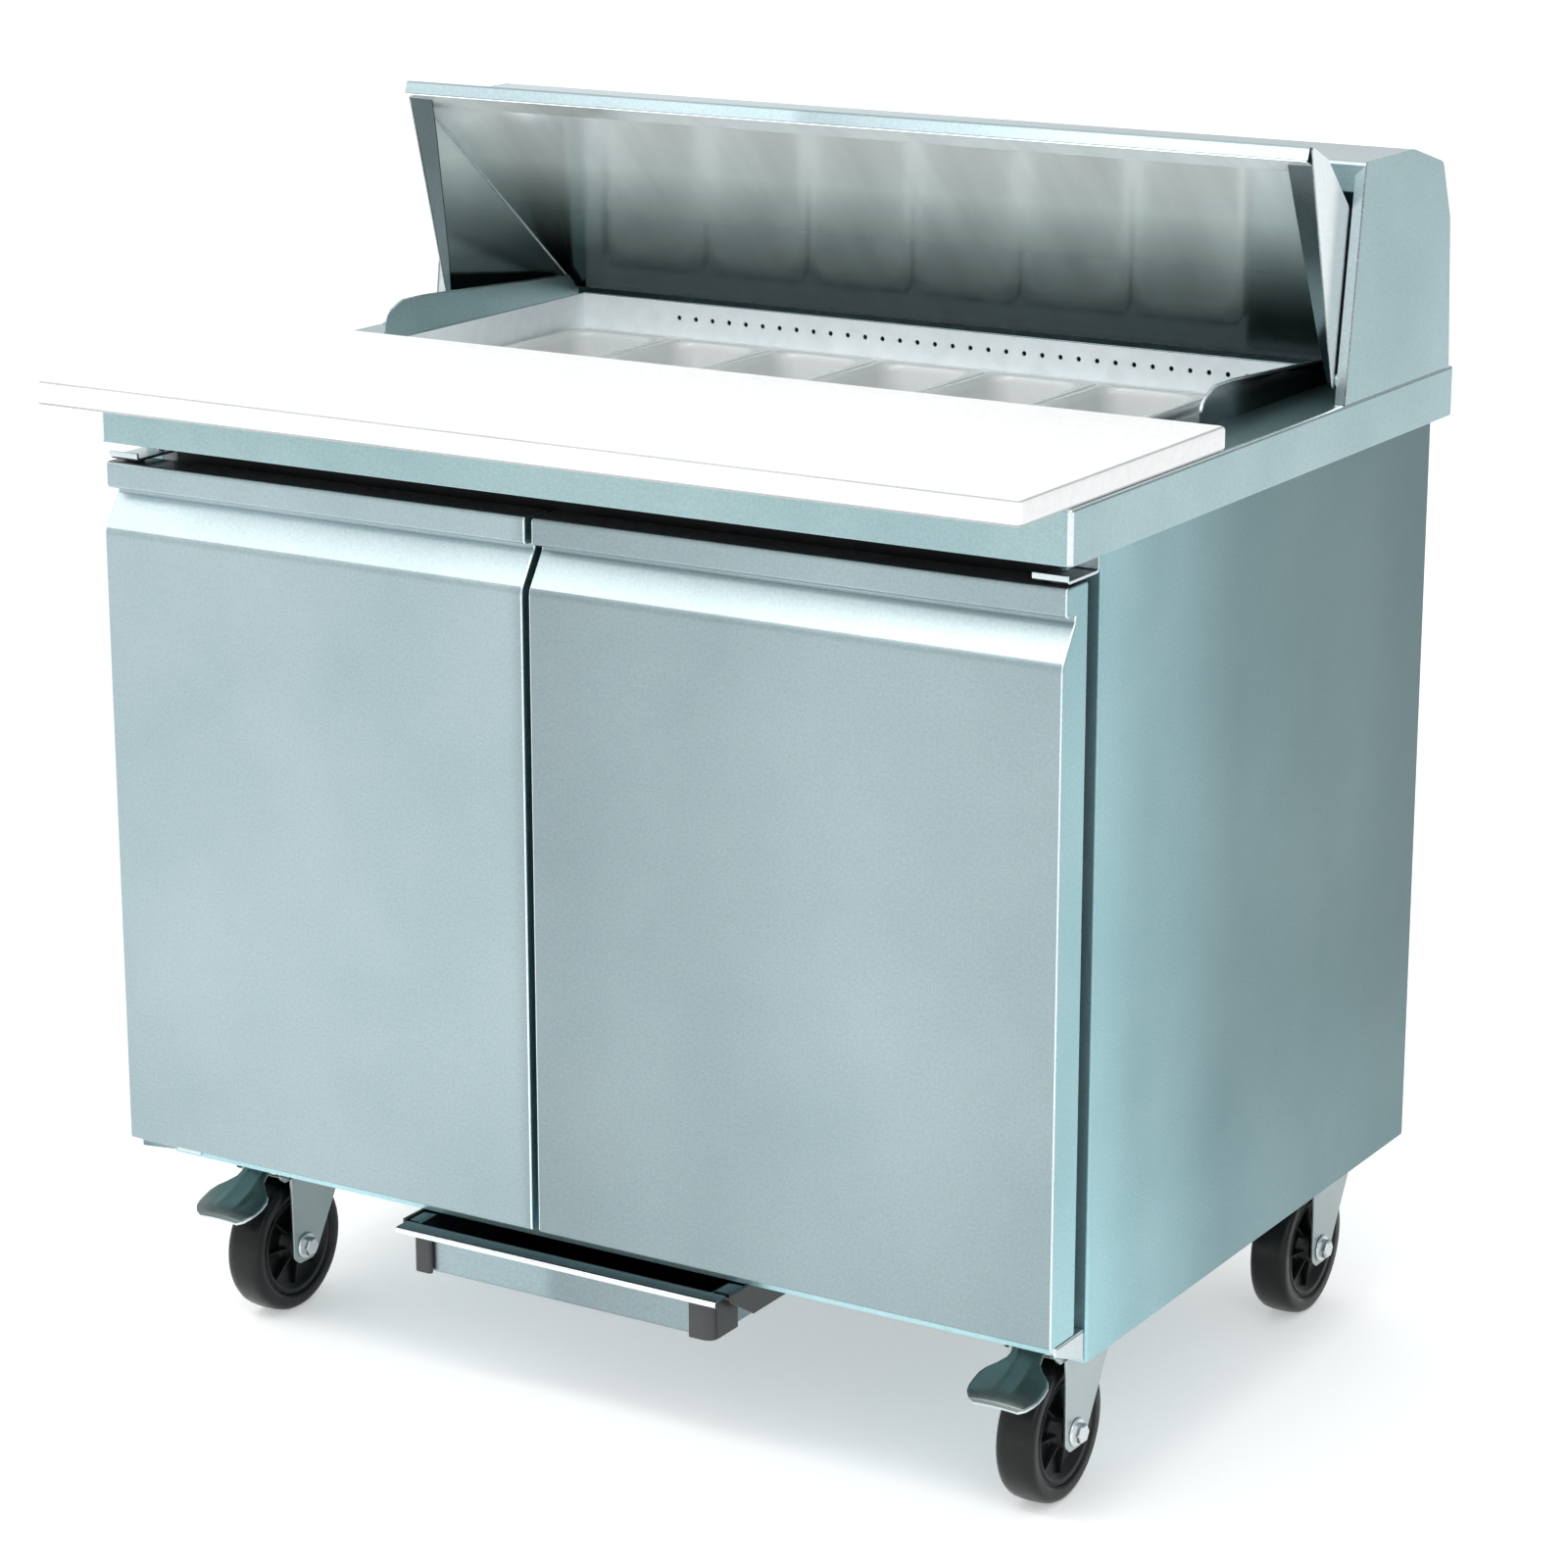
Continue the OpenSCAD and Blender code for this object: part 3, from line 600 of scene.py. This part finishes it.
m = Mesh()
outer = rrect(300, 360, 186, 226, 3, 4)
inner = rrect(308, 352, 192, 220, 2, 4)
m.rings([[at(p[0], y, p[1]) for p in loop] for loop, y in
         ((outer, 668), (outer, 683), (inner, 684), (inner, 672), (inner, 671.9))],
        cap0=False)
m.make("power_inlet", "black", "cabinet", 0.3)
m = Mesh()
for x in (316, 330, 344):
    m.box((x - 2, 671, 200), (x + 2, 680, 212))
m.make("inlet_blades", "bolt", "cabinet", 0.4)


def screws(name, places, axis, r=4.0, h=2.0, body="cabinet", sign=1, mat="bolt"):
    """Pan-head screws with a dimpled centre, at a list of places."""
    m = Mesh()
    for c in places:
        prof = [(0.01, h * 0.45), (0.8, h * 0.5), (r * 0.45, h), (r * 0.8, h * 0.8),
                (r, h * 0.25), (r, -0.4)]
        m.lathe([(a, b * sign) for a, b in prof], c, axis, 20, False)
    m.make(name, mat, body, 0)


screws("rear_screws", [(x, 668, z) for x in (-425, 425) for z in (175, 330, 490, 650, 790)]
       + [(x, 668, z) for x in (-262, -16, 16, 262) for z in (172, 372)], "y")

# breaker frame, plastic with soft edges
m = Mesh()
for a, b in (((-455.5, 56.2, 158.2), (-425, 76, 805)), ((425, 56.2, 158.2), (455.5, 76, 805)),
             ((-51, 56.2, 215), (-1, 76, 760)),
             ((-425, 56.2, 158.2), (425, 76, 215)), ((-425, 56.2, 760), (425, 76, 805))):
    m.box(a, b)
m.make("breaker_frame", "liner", "cabinet", 2.0, 3,
       replaces=["front_frame"])

# strip under the doors, in the lighter steel copy: painted light
m = Mesh()
m.prism_x(strip([(66, 157.2), (55.8, 157.2), (55.8, 176)], 1.2, 2.0), -455, 455)
m.make("front_strip", "light", "cabinet", 0.2)
# black sheet along the frame in the gap above the doors: painted shade
m = Mesh()
m.box((-424, 55.2, 781), (424, 56.15, 805))
m.make("upper_shade", "black", "cabinet", 0.3)


# ------------------------------------------------------------ door pivots
def pivot_bracket(name, s):
    # both brackets take the lighter steel copy: painted light
    x0, x1 = sorted((s * 425.2, s * 455.3))
    m = Mesh()
    m.prism_x(strip([(54, 804.6), (54, 792.9), (5.4, 792.9), (5.4, 798.4)], 2.4, 2.5),
              x0, x1)
    m.lathe([(0.1, 776), (3.2, 776), (4, 777.5), (4, 792)], (s * 441, 20, 0), "z", 28, False)
    m.lathe([(4, 791.4), (9, 791.4), (9, 790.9), (4, 790.9)], (s * 441, 20, 0), "z", 28)
    m.make(f"{name}_upper", "light", "cabinet", 0.5,
           replaces=["hinge_brackets"])
    m = Mesh()
    m.prism_x(strip([(54, 158.5), (54, 183.9), (7, 183.9)], 2.6, 3), x0, x1)
    e0, e1 = sorted((s * 452.5, s * 455.3))
    m.prism_x(fillet([(54.5, 158.2), (54.5, 184.5), (8, 184.5), (8, 177)], 1.5, 3), e0, e1)
    m.lathe([(4, 184), (4, 199.5), (3.2, 201), (0.1, 201)], (s * 441, 20, 0), "z", 28, False)
    m.make(f"{name}_lower", "light", "cabinet", 0.5)


pivot_bracket("pivot_left", -1)
pivot_bracket("pivot_right", 1)
screws("pivot_screws", [(s * 448, 12, 794.0) for s in (-1, 1)]
       + [(s * 432, 44, 794.0) for s in (-1, 1)], "z", 3.2, 1.8)

# ------------------------------------------------------------------ hood
hood_path = [(524, 1020.8), (507.7, 1020.8), (507.7, 1046.3), (603, 1046.3),
             (664.4, 1029.4), (683.3, 979.8), (693.3, 850.2)]
m = Mesh()
m.prism_x(strip(hood_path, 1.4, [0, 2, 3, 14, 10, 14, 0], 5), -458.4, 458.4)
# the hood takes the lighter band steel: painted light on its top
m.make("hood_skin", "band", "cabinet", 0.3, replaces=["hood"])
side_out = fillet([(480, 850.1), (507, 1047), (603, 1047), (665, 1030), (684, 980),
                   (694, 850.1)], [0, 4, 14, 10, 14, 0], 5)
for side, s in (("left", -1), ("right", 1)):
    m = Mesh()
    x0, x1 = sorted((s * 458.5, s * 460.0))
    m.prism_x(side_out, x0, x1)
    o = m.make(f"hood_side_{side}", "top", "cabinet", 0)
    # painted highlight: the edges of the side take the bright rim steel
    tint(o, "rim", lambda c, n: abs(n.x) < 0.5)
    # folded front edge of the side, in the lighter steel copy: painted light
    m = Mesh()
    rings = []
    for y, z in ((480.4, 850.3), (507.1, 1045)):
        rings.append([at(s * 459.6, y, z), at(s * 449.5, y + 1.2, z),
                      at(s * 449.5, y + 2.4, z), at(s * 459.6, y + 1.4, z)])
    m.rings(rings)
    m.make(f"hood_fold_{side}", "light", "cabinet", 0.2)

# ------------------------------------------------------------------- lid
L = "lid"
m = Mesh()
m.prism_x(strip([(421, 1056.8), (425.5, 1067.3), (456.7, 1053.4), (654.6, 855.6),
                 (639.6, 855.6)], 1.2, [0, 2.2, 6, 2, 0], 5), -446, 446)
o = m.make("lid_skin", "top", L, 0.2, replaces=["lid_panel"])
# the front lip takes the door-front steel, lighter than the top steel and carrying its painted
# shade gradients
tint(o, "front", lambda c, n: c.z > 1050 and n.y < -0.5)
m = Mesh()
# the polished sheet narrows downwards, with a slanted facet at each end
rings = []
for x in (-1, 1):
    outline = strip([(420.1, 1056.3), (449.8, 1043.4), (638.1, 855.2)], 1.0, [0, 4, 0], 4)
    rings.append([at(x * (445.3 - max(0, p.x - 450) * 0.1818), p.x, p.y)
                  for p in outline])
m.rings(rings)
m.make("lid_mirror", "mirror", L, 0.2, replaces=["lid_liner"])
for side, s in (("left", -1), ("right", 1)):
    tri = [(444.5, 484, 864.2), (444.5, 449.9, 1043.2), (410.7, 637.0, 856.1)]
    m = Mesh()
    m.rings([[at(s * (p[0] + d), p[1], p[2]) for p in tri] for d in (0, 0.9)])
    o = m.make(f"lid_facet_{side}", "mirror", L, 0.2)
    # painted highlight: a thin tube in the bright rim steel along the line where the facet meets
    # the sheet
    a, b = Vector(tri[1]), Vector(tri[2])
    d = (b - a).normalized()
    u = Vector((1, 0, 0)).cross(d).normalized()
    w = d.cross(u)
    rings = []
    for p in (a + d * 2, b - d * 2):
        ring = []
        for k in range(10):
            g = 2 * math.pi * k / 10
            q = p + u * (1.3 * math.cos(g)) + w * (1.3 * math.sin(g)) + Vector((-0.6, -0.5, -0.5))
            ring.append(at(s * q.x, q.y, q.z))
        rings.append(ring)
    m = Mesh()
    m.rings(rings)
    m.make(f"lid_seam_highlight_{side}", "rim", L, 0)
gus = fillet([(425, 1068), (457, 1054), (655, 856), (500, 855), (480, 864)],
             [2, 4, 3, 6, 8], 4)
for side, s in (("left", -1), ("right", 1)):
    m = Mesh()
    x0, x1 = sorted((s * 446.1, s * 447.9))
    m.prism_x(gus, x0, x1)
    # the end plates take the bright rim steel: painted highlight
    o = m.make(f"lid_end_{side}", "rim", L, 0,
               replaces=["lid_gussets"])
    tint(o, "rim", lambda c, n: abs(n.x) < 0.5)
    # front flange of the end plate, narrower towards the pivot, in the dark shade steel: painted
    # shade
    m = Mesh()
    rings = []
    for y, z, w in ((425.4, 1065.5, 24), (440, 1015, 20), (470, 902, 9), (479, 868, 4)):
        rings.append([at(s * 446.6, y, z), at(s * (446.6 - w), y + 1.6, z),
                      at(s * (446.6 - w), y + 2.9, z), at(s * 446.6, y + 1.4, z)])
    m.rings(rings)
    m.make(f"lid_flange_{side}", "dark", L, 0.3)
    m = Mesh()
    m.lathe([(0.1, 0), (6.6, 0), (6.6, 9.2), (3.95, 9.4), (3.95, 11.6), (3.2, 12.3),
             (0.1, 12.4)] if s > 0 else
            [(0.1, 0), (6.6, 0), (6.6, -9.2), (3.95, -9.4), (3.95, -11.6), (3.2, -12.3),
             (0.1, -12.4)], (s * 447.4, 494, 868), "x", 32, False)
    m.make(f"lid_pin_{side}", "bolt", L, 0)

# ----------------------------------------------------------- well and pans
# the well walls take the near-white coat and the pan bar the lighter steel copy: painted light
for name, key in (("well_frame", "wall"), ("pan_bar", "light")):
    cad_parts[name].data.materials.clear()
    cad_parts[name].data.materials.append(M[key])

# filler plate in the lighter steel copy: painted light
m = Mesh()
loops = []
for inset, z in ((1.5, 816.8), (0, 817.2), (0, 819), (1, 820), (12, 820), (15, 818.9),
                 (24, 818.9), (27, 819.8)):
    loops.append(ring_at(rrect(277 + inset, 401 - inset, 263 + inset, 639 - inset, 4, 4), z))
m.rings(loops)
m.make("filler", "light", "cabinet", 0, replaces=["filler_plate"])


def pan(name, body, x0, x1, y0, y1, node):
    """Thin clear pan: drafted walls, stacking shoulder, round corners, turned rim."""
    def loop(inset, r, z):
        return ring_at(rrect(x0 + inset, x1 - inset, y0 + inset, y1 - inset, r, 7), z)
    m = Mesh()
    m.rings([
        loop(26, 8, 722.6), loop(19, 12, 723), loop(15.5, 14, 726.5),
        loop(14.6, 15, 740), loop(12.6, 17, 792), loop(11.0, 18, 793.5),
        loop(10.4, 18.5, 812), loop(9.0, 19, 817.5), loop(7.0, 19, 819.2),
        loop(1.2, 12, 819.2), loop(0.3, 11, 818.6), loop(0, 11, 817.1),
        loop(1.0, 11, 817.0), loop(1.4, 11, 817.4), loop(7.2, 17, 817.4),
        loop(8.2, 17, 812), loop(8.9, 17, 791.5), loop(10.4, 16, 790),
        loop(12.4, 14, 740), loop(13.2, 13, 725), loop(16.5, 10, 720.8),
        loop(26, 6, 720.2)])
    m.make(name, "clear", body, 0, replaces=[node])


for i in range(6):
    x = -397 + i * 112
    pan(f"small_pan_{i + 1}", f"rear_pan_{i + 1}", x, x + 110, 444.8, 620,
        f"pan_rear_{i + 1}")
for i in range(2):
    x = -397 + i * 337
    pan(f"wide_pan_{i + 1}", f"front_pan_{i + 1}", x, x + 335, 268, 443.2,
        f"pan_front_{i + 1}")

# --------------------------------------------------- inside of the cabinet
# the base plate takes the darker side steel with its painted shade; the shelf posts take the
# lighter steel copy, as painted light
for name, key in (("cabinet_liner", "liner"), ("insulation", "foam"), ("insulation_walls", "foam"),
                  ("base_plate", "side"), ("shelf_posts", "light"),
                  ("shelf_left", "wire"), ("shelf_right", "wire"),
                  ("condenser", "fins"), ("evaporator", "fins"),
                  ("condenser_fan", "black"), ("thermostat_knob", "black")):
    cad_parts[name].data.materials.clear()
    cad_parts[name].data.materials.append(M[key])

# compressor as a domed pot with a weld seam, feet and pipes
m = Mesh()
m.lathe([(0.1, 172), (40, 172), (60, 177), (67, 188), (68, 215), (68, 238), (70.5, 240),
         (70.5, 246), (68, 248), (68, 275), (64, 298), (52, 315), (30, 325), (0.1, 328)],
        (250, 575, 0), "z", 64, False)
m.prism_z(rrect(172, 328, 562, 588, 8, 4), 166, 170)
m.prism_z(rrect(237, 263, 512, 638, 8, 4), 166, 170)
for x in (182, 318):
    m.lathe([(0.1, 158.3), (9, 158.3), (10, 160), (8, 163), (10, 166), (0.1, 166.5)],
            (x, 575, 0), "z", 24, False)
m.make("compressor_pot", "black", "cabinet", 0.5,
       replaces=["compressor"])


def tube(name, pts, r, key, body, n=10):
    """A round tube through points, on one smooth curve."""
    cu = bpy.data.curves.new(name, "CURVE")
    cu.dimensions = "3D"
    cu.bevel_depth = r / 1000
    cu.bevel_resolution = 4
    cu.resolution_u = n
    sp = cu.splines.new("BEZIER")
    sp.bezier_points.add(len(pts) - 1)
    for b, p in zip(sp.bezier_points, pts):
        b.co = at(*p)
        b.handle_left_type = b.handle_right_type = "AUTO"
    cu.materials.append(M[key])
    cu.use_fill_caps = True
    o = bpy.data.objects.new(name, cu)
    bpy.context.scene.collection.objects.link(o)
    bpy.context.view_layer.update()
    me = bpy.data.meshes.new_from_object(o.evaluated_get(
        bpy.context.evaluated_depsgraph_get()))
    bpy.data.objects.remove(o)
    o = bpy.data.objects.new(name, me)
    bpy.context.scene.collection.objects.link(o)
    me.polygons.foreach_set("use_smooth", [True] * len(me.polygons))
    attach(o, body)
    return o


tube("suction_pipe", [(222, 560, 322), (205, 555, 345), (165, 560, 360), (100, 600, 366),
                      (60, 640, 360), (40, 640, 330)], 4, "copper", "cabinet")
tube("delivery_pipe", [(275, 600, 320), (285, 620, 345), (240, 640, 356), (140, 646, 345),
                       (60, 646, 300), (34, 622, 290)], 3, "copper", "cabinet")

# ------------------------------------------------------------------ tray
m = Mesh()
wall = 1.4
outer = [(z, i) for z, i in ((114, 3), (115.2, 0.8), (118, 0), (154.8, 0))]
loops = [ring_at(rrect(-168 + i, 128 - i, 26 + i, 320 - i, max(4 - i, 1), 4), z)
         for z, i in outer]
loops += [ring_at(rrect(-168 + i, 128 - i, 26 + i, 320 - i, 2, 4), z)
          for z, i in ((154.8, wall), (118, wall), (115.6, 3))]
m.rings(loops)
m.prism_x(strip([(27, 154.2), (10.8, 154.2), (10.8, 149.7), (13, 149.7)], 1.2, 1.6),
          -180.8, 140.8)
m.box((-180.8, 32, 153.2), (-167.8, 320, 154.7))
m.box((127.8, 32, 153.2), (140.8, 320, 154.7))
o = m.make("drip_tray", "front", "tray", 0, replaces=["condensate_tray"])
# painted highlight: the front lip takes the bright rim steel
tint(o, "rim", lambda c, n: c.y < 11.6 and c.z > 148)
# painted shade: the tray floor and ledges take the dark shade steel
tint(o, "dark", lambda c, n: n.z > 0.7)
m = Mesh()
end = [(28, 155.9), (330, 155.9), (330, 128), (62, 128), (28, 149)]
for x0, x1 in ((-186, -183), (143, 146)):
    m.prism_x(end, x0, x1)
for a, b in (((-183, 30, 149.6), (-173, 330, 152.4)), ((133, 30, 149.6), (143, 330, 152.4))):
    m.box(a, b)
m.make("runners", "black", "cabinet", 0.6, replaces=["tray_runners"])
m = Mesh()
for x0, x1, r in ((-168.5, -152, 3), (108, 132, 9)):
    m.prism_z(fillet([(x0, 20), (x1, 20), (x1, 60), (x1 - 3.5, 60), (x1 - 3.5, 25.6),
                      (x0, 25.6)] if r > 3 else
                     [(x0, 20), (x1, 20), (x1, 25.6), (x0, 25.6)], r if r < 4 else
                     [2, 9, 1, 1, 4, 1], 4), 114.2, 152.6)
m.make("tray_end_caps", "black", "tray", 0.8)


# --------------------------------------------------------------- casters
def caster(tag, brake):
    low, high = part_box(f"caster_{tag}_mount")
    cx, cy = (low.x + high.x) * 500, ((low.y + high.y) / 2 - FRONT) * 1000
    fork, wheel = f"swivel_{tag}", f"wheel_{tag}"
    # plate with rounded corners, bolts, and the upper race
    m = Mesh()
    m.prism_z(rrect(cx - 38, cx + 38, cy - 46, cy + 46, 7, 5), 152.2, 155.9)
    m.lathe([(6.2, 151.9), (29, 151.9), (29, 149), (27, 145), (24.5, 143.3),
             (6.2, 143.3)], (cx, cy, 0), "z", 48)
    m.make(f"caster_{tag}_plate", "zinc", "cabinet", 0.4,
           replaces=[f"caster_{tag}_mount"])
    m = Mesh()
    for a in (-30, 30):
        for b in (-37, 37):
            hexa = [(cx + a + 6.4 * math.cos(math.pi * k / 3),
                     cy + b + 6.4 * math.sin(math.pi * k / 3)) for k in range(6)]
            m.prism_z(hexa, 147.8, 151.6)
            m.lathe([(0.1, 151.4), (7.4, 151.4), (7.4, 152.3), (0.1, 152.3)],
                    (cx + a, cy + b, 0), "z", 24, False)
    m.make(f"caster_{tag}_bolts", "bolt", "cabinet", 0.7)
    # lower race and crown, pressed from one sheet with the legs
    m = Mesh()
    m.lathe([(0.1, 132), (26, 132), (27, 134), (27, 138), (24, 141.5), (18, 142.3),
             (7, 142.3), (6, 142.6), (6, 149.5), (0.1, 149.5)], (cx, cy, 0), "z", 48, False)
    m.make(f"caster_{tag}_race", "zinc", fork, 0.3,
           replaces=[f"caster_{tag}_fork"])
    m = Mesh()
    leg = fillet([(cy - 46, 131.8), (cy + 27, 131.8), (cy + 27, 117), (cy - 11, 53),
                  (cy - 18, 47.6), (cy - 37, 47.6), (cy - 45, 54)],
                 [2, 4, 10, 10, 6, 6, 6], 5)
    for x0, x1 in ((cx - 25, cx - 22.2), (cx + 22.2, cx + 25)):
        m.prism_x(leg, x0, x1)
    m.prism_z(rrect(cx - 24.6, cx + 24.6, cy - 45.8, cy + 26.8, 5, 4), 128.8, 131.8)
    m.make(f"caster_{tag}_legs", "zinc", fork, 0.8, 3)
    # axle bolt: flange, domed hexagon head, nut on the inner side
    m = Mesh()
    ay, az = cy - 28, 62.5
    m.lathe([(0.1, -27), (5.9, -27), (5.9, 27), (0.1, 27)], (cx, ay, az), "x", 24, False)
    for s in (1, -1):
        m.lathe([(5.9, s * 25), (12, s * 25.1), (12.2, s * 26), (11, s * 27.4),
                 (5.9, s * 27.6)], (cx, ay, az), "x", 36)
        hexa = []
        for h, r in ((27, 8.6), (31.5, 8.6), (33.2, 7.6), (33.8, 5.0)):
            hexa.append([at(cx + s * h, ay + r * math.cos(math.pi * k / 3),
                            az + r * math.sin(math.pi * k / 3)) for k in range(6)])
        m.rings(hexa)
    m.make(f"caster_{tag}_axle", "bolt", fork, 0.5)
    # tyre with round shoulders
    prof = [(46, -16), (51, -17), (56.5, -17.4), (59.5, -16.2), (61.4, -13), (62.2, -8),
            (62.5, 0), (62.2, 8), (61.4, 13), (59.5, 16.2), (56.5, 17.4), (51, 17),
            (46, 16)]
    m = Mesh()
    m.lathe(prof, (cx, ay, az), "x", 72)
    m.make(f"caster_{tag}_tread", "tread", wheel, 0,
           replaces=[f"caster_{tag}_tyre"])
    # hub: dished centre with ribs
    m = Mesh()
    m.lathe([(6.3, -20), (13, -20), (14.5, -18), (16, -9), (20, -7.5), (38, -8.5),
             (41, -15), (46, -16), (46, 16), (41, 15), (38, 8.5), (20, 7.5), (16, 9),
             (14.5, 18), (13, 20), (6.3, 20)], (cx, ay, az), "x", 72)
    for k in range(8):
        a = 2 * math.pi * k / 8
        ca, sa = math.cos(a), math.sin(a)
        for s in (-1, 1):
            ring = []
            for r, h in ((15, 15), (39, 11.5)):
                ring.append([at(cx + s * 7, ay + r * ca - 1.0 * sa, az + r * sa + 1.0 * ca),
                             at(cx + s * h, ay + r * ca - 0.7 * sa, az + r * sa + 0.7 * ca),
                             at(cx + s * h, ay + r * ca + 0.7 * sa, az + r * sa - 0.7 * ca),
                             at(cx + s * 7, ay + r * ca + 1.0 * sa, az + r * sa - 1.0 * ca)])
            m.rings(ring)
    m.make(f"caster_{tag}_centre", "hub", wheel, 0,
           replaces=[f"caster_{tag}_hub"])
    if not brake:
        return
    # ears on the fork
    m = Mesh()
    for s in (-1, 1):
        x0, x1 = sorted((cx + s * 19.6, cx + s * 22.4))
        m.prism_x(fillet([(cy - 57, 133), (cy - 57, 144), (cy - 46, 144), (cy - 40, 131),
                          (cy - 40, 128.8), (cy - 52, 128.8)], [3, 5, 5, 1, 1, 3], 4),
                  x0, x1)
    m.make(f"caster_{tag}_ears", "zinc", fork, 0.5)
    # box bracket that holds the lever, with a folded front lip
    m = Mesh()
    m.prism_x(strip([(cy - 33, 145.6), (cy - 62, 145.6), (cy - 62, 141.5)], 1.6, 2), cx - 24.5,
              cx + 24.5)
    for s in (-1, 1):
        x0, x1 = sorted((cx + s * 22.9, cx + s * 24.5))
        m.prism_x(fillet([(cy - 62, 145.6), (cy - 33, 145.6), (cy - 33, 136),
                          (cy - 50, 133), (cy - 62, 138)], [1, 1, 2, 4, 4], 3), x0, x1)
    o = m.make(f"caster_{tag}_bracket", "pedal", fork, 0)
    # painted light: the faces towards the front and back take the lighter steel copy
    tint(o, "light", lambda c, n: abs(n.z) < 0.6 and abs(n.x) < 0.6)
    # pedal: crowned tongue with a pressed rib that widens forward and curls down
    m = Mesh()
    rings = []
    steps = [(-47.5, 141.6, 12, 0.4), (-60, 141.8, 13, 0.6), (-66, 140.2, 13.5, 0.8),
             (-73, 136.6, 15, 1.0), (-79, 133.0, 21, 1.4), (-84, 129.9, 28, 2.0),
             (-90, 127.4, 31.2, 2.4), (-98, 124.5, 32, 2.6), (-106, 122.0, 31.6, 2.6),
             (-112, 119.8, 30, 2.4), (-117, 116.4, 26, 1.8), (-120, 113.6, 20, 0.8)]
    n = 25
    for y, z, w, crown in steps:
        up, dn = [], []
        for k in range(n):
            u = -1 + 2 * k / (n - 1)
            rib = 1.6 * math.exp(-((abs(u) * w - 9) / 2.6) ** 2) if -112 < y < -64 else 0
            h = z - crown * u * u
            up.append(at(cx + u * w, cy + y, min(h + rib * 0.6, z + 0.8)))
            dn.append(at(cx + u * w, cy + y + 0.9, h - 2.2))
        rings.append(up + dn[::-1])
    m.rings(rings)
    o = m.make(f"caster_{tag}_tongue", "pedal", f"pedal_{tag}", 0,
               replaces=[f"caster_{tag}_pedal"])
    # painted highlight: the edges of the pedal take the lighter steel copy
    tint(o, "light", lambda c, n: abs(n.z) < 0.45 and abs(n.x) + abs(n.y) > 0.8)
    m = Mesh()
    m.lathe([(0.1, -23.4), (3.9, -23.4), (3.9, 23.4), (0.1, 23.4)],
            (cx, cy - 51, 138.6), "x", 24, False)
    m.lathe([(4.0, -15), (5.6, -15), (5.6, 15), (4.0, 15)], (cx, cy - 51, 138.6), "x", 24)
    m.make(f"caster_{tag}_pivot", "bolt", f"pedal_{tag}", 0.3)


caster("fl", True)
caster("fr", True)
caster("rl", False)
caster("rr", False)

# ------------------------------------------------------------ floor, light
me = bpy.data.meshes.new("floor")
S = 14.0
me.from_pydata([(-S, -S, 0), (S, -S, 0), (S, S, 0), (-S, S, 0)], [], [(0, 1, 2, 3)])
floor = bpy.data.objects.new("floor", me)
bpy.context.scene.collection.objects.link(floor)
fm, fnt, fb = nodes_of("floor_white")
fn = noise(fnt, 0.6, (1, 1, 1), 1.0)
link(fnt, ramp(fnt, fn, [(0.3, (0.90, 0.90, 0.90)), (0.7, (0.915, 0.915, 0.915))]),
     fb.inputs["Base Color"])
fb.inputs["Roughness"].default_value = 0.9
fb.inputs["Emission Color"].default_value = (1, 1, 1, 1)
fb.inputs["Emission Strength"].default_value = 0.36
fb.inputs["Specular IOR Level"].default_value = 0.1
me.materials.append(fm)

world = bpy.data.worlds.new("studio")
bpy.context.scene.world = world
world.use_nodes = True
wn = world.node_tree
bg = wn.nodes["Background"]
tc = wn.nodes.new("ShaderNodeTexCoord")
sep = wn.nodes.new("ShaderNodeSeparateXYZ")
link(wn, tc.outputs["Generated"], sep.inputs["Vector"])
# darker towards the right rear, so that the side sheets have a gradient
dot = wn.nodes.new("ShaderNodeVectorMath")
dot.operation = "DOT_PRODUCT"
dot.inputs[1].default_value = (0.80, 0.55, 0.0)
link(wn, tc.outputs["Generated"], dot.inputs[0])
shade = ramp(wn, dot.outputs["Value"], [(0.15, (1.0, 1.0, 1.0)), (0.85, (0.36, 0.40, 0.42))])
link(wn, shade, bg.inputs["Color"])
bg.inputs["Strength"].default_value = 0.98
# the backdrop itself stays white
seen = wn.nodes.new("ShaderNodeLightPath")
plain = wn.nodes.new("ShaderNodeBackground")
plain.inputs["Color"].default_value = (1, 1, 1, 1)
both = wn.nodes.new("ShaderNodeMixShader")
link(wn, seen.outputs["Is Camera Ray"], both.inputs["Fac"])
link(wn, bg.outputs["Background"], both.inputs[1])
link(wn, plain.outputs["Background"], both.inputs[2])
link(wn, both.outputs["Shader"], wn.nodes["World Output"].inputs["Surface"])


def area(name, loc, target, size, power, colour=(1, 1, 1)):
    d = bpy.data.lights.new(name, "AREA")
    d.shape = "RECTANGLE"
    d.size, d.size_y = size
    d.energy = power
    d.color = colour
    o = bpy.data.objects.new(name, d)
    bpy.context.scene.collection.objects.link(o)
    o.location = loc
    o.rotation_euler = (Vector(target) - Vector(loc)).to_track_quat("-Z", "Y").to_euler()
    return o


area("above", (0, -0.4, 3.0), (0, 0, 0.8), (2.4, 1.6), 8)
area("well", (0.1, -1.5, 2.3), (0, 0.2, 0.84), (1.8, 0.5), 13)
area("key", (-1.6, -2.4, 3.2), (0, 0, 0.6), (2.2, 1.6), 17, (1.0, 0.99, 0.98))
area("fill", (2.8, -1.8, 2.4), (0.2, 0, 0.6), (1.6, 1.6), 12, (0.96, 0.98, 1.0))
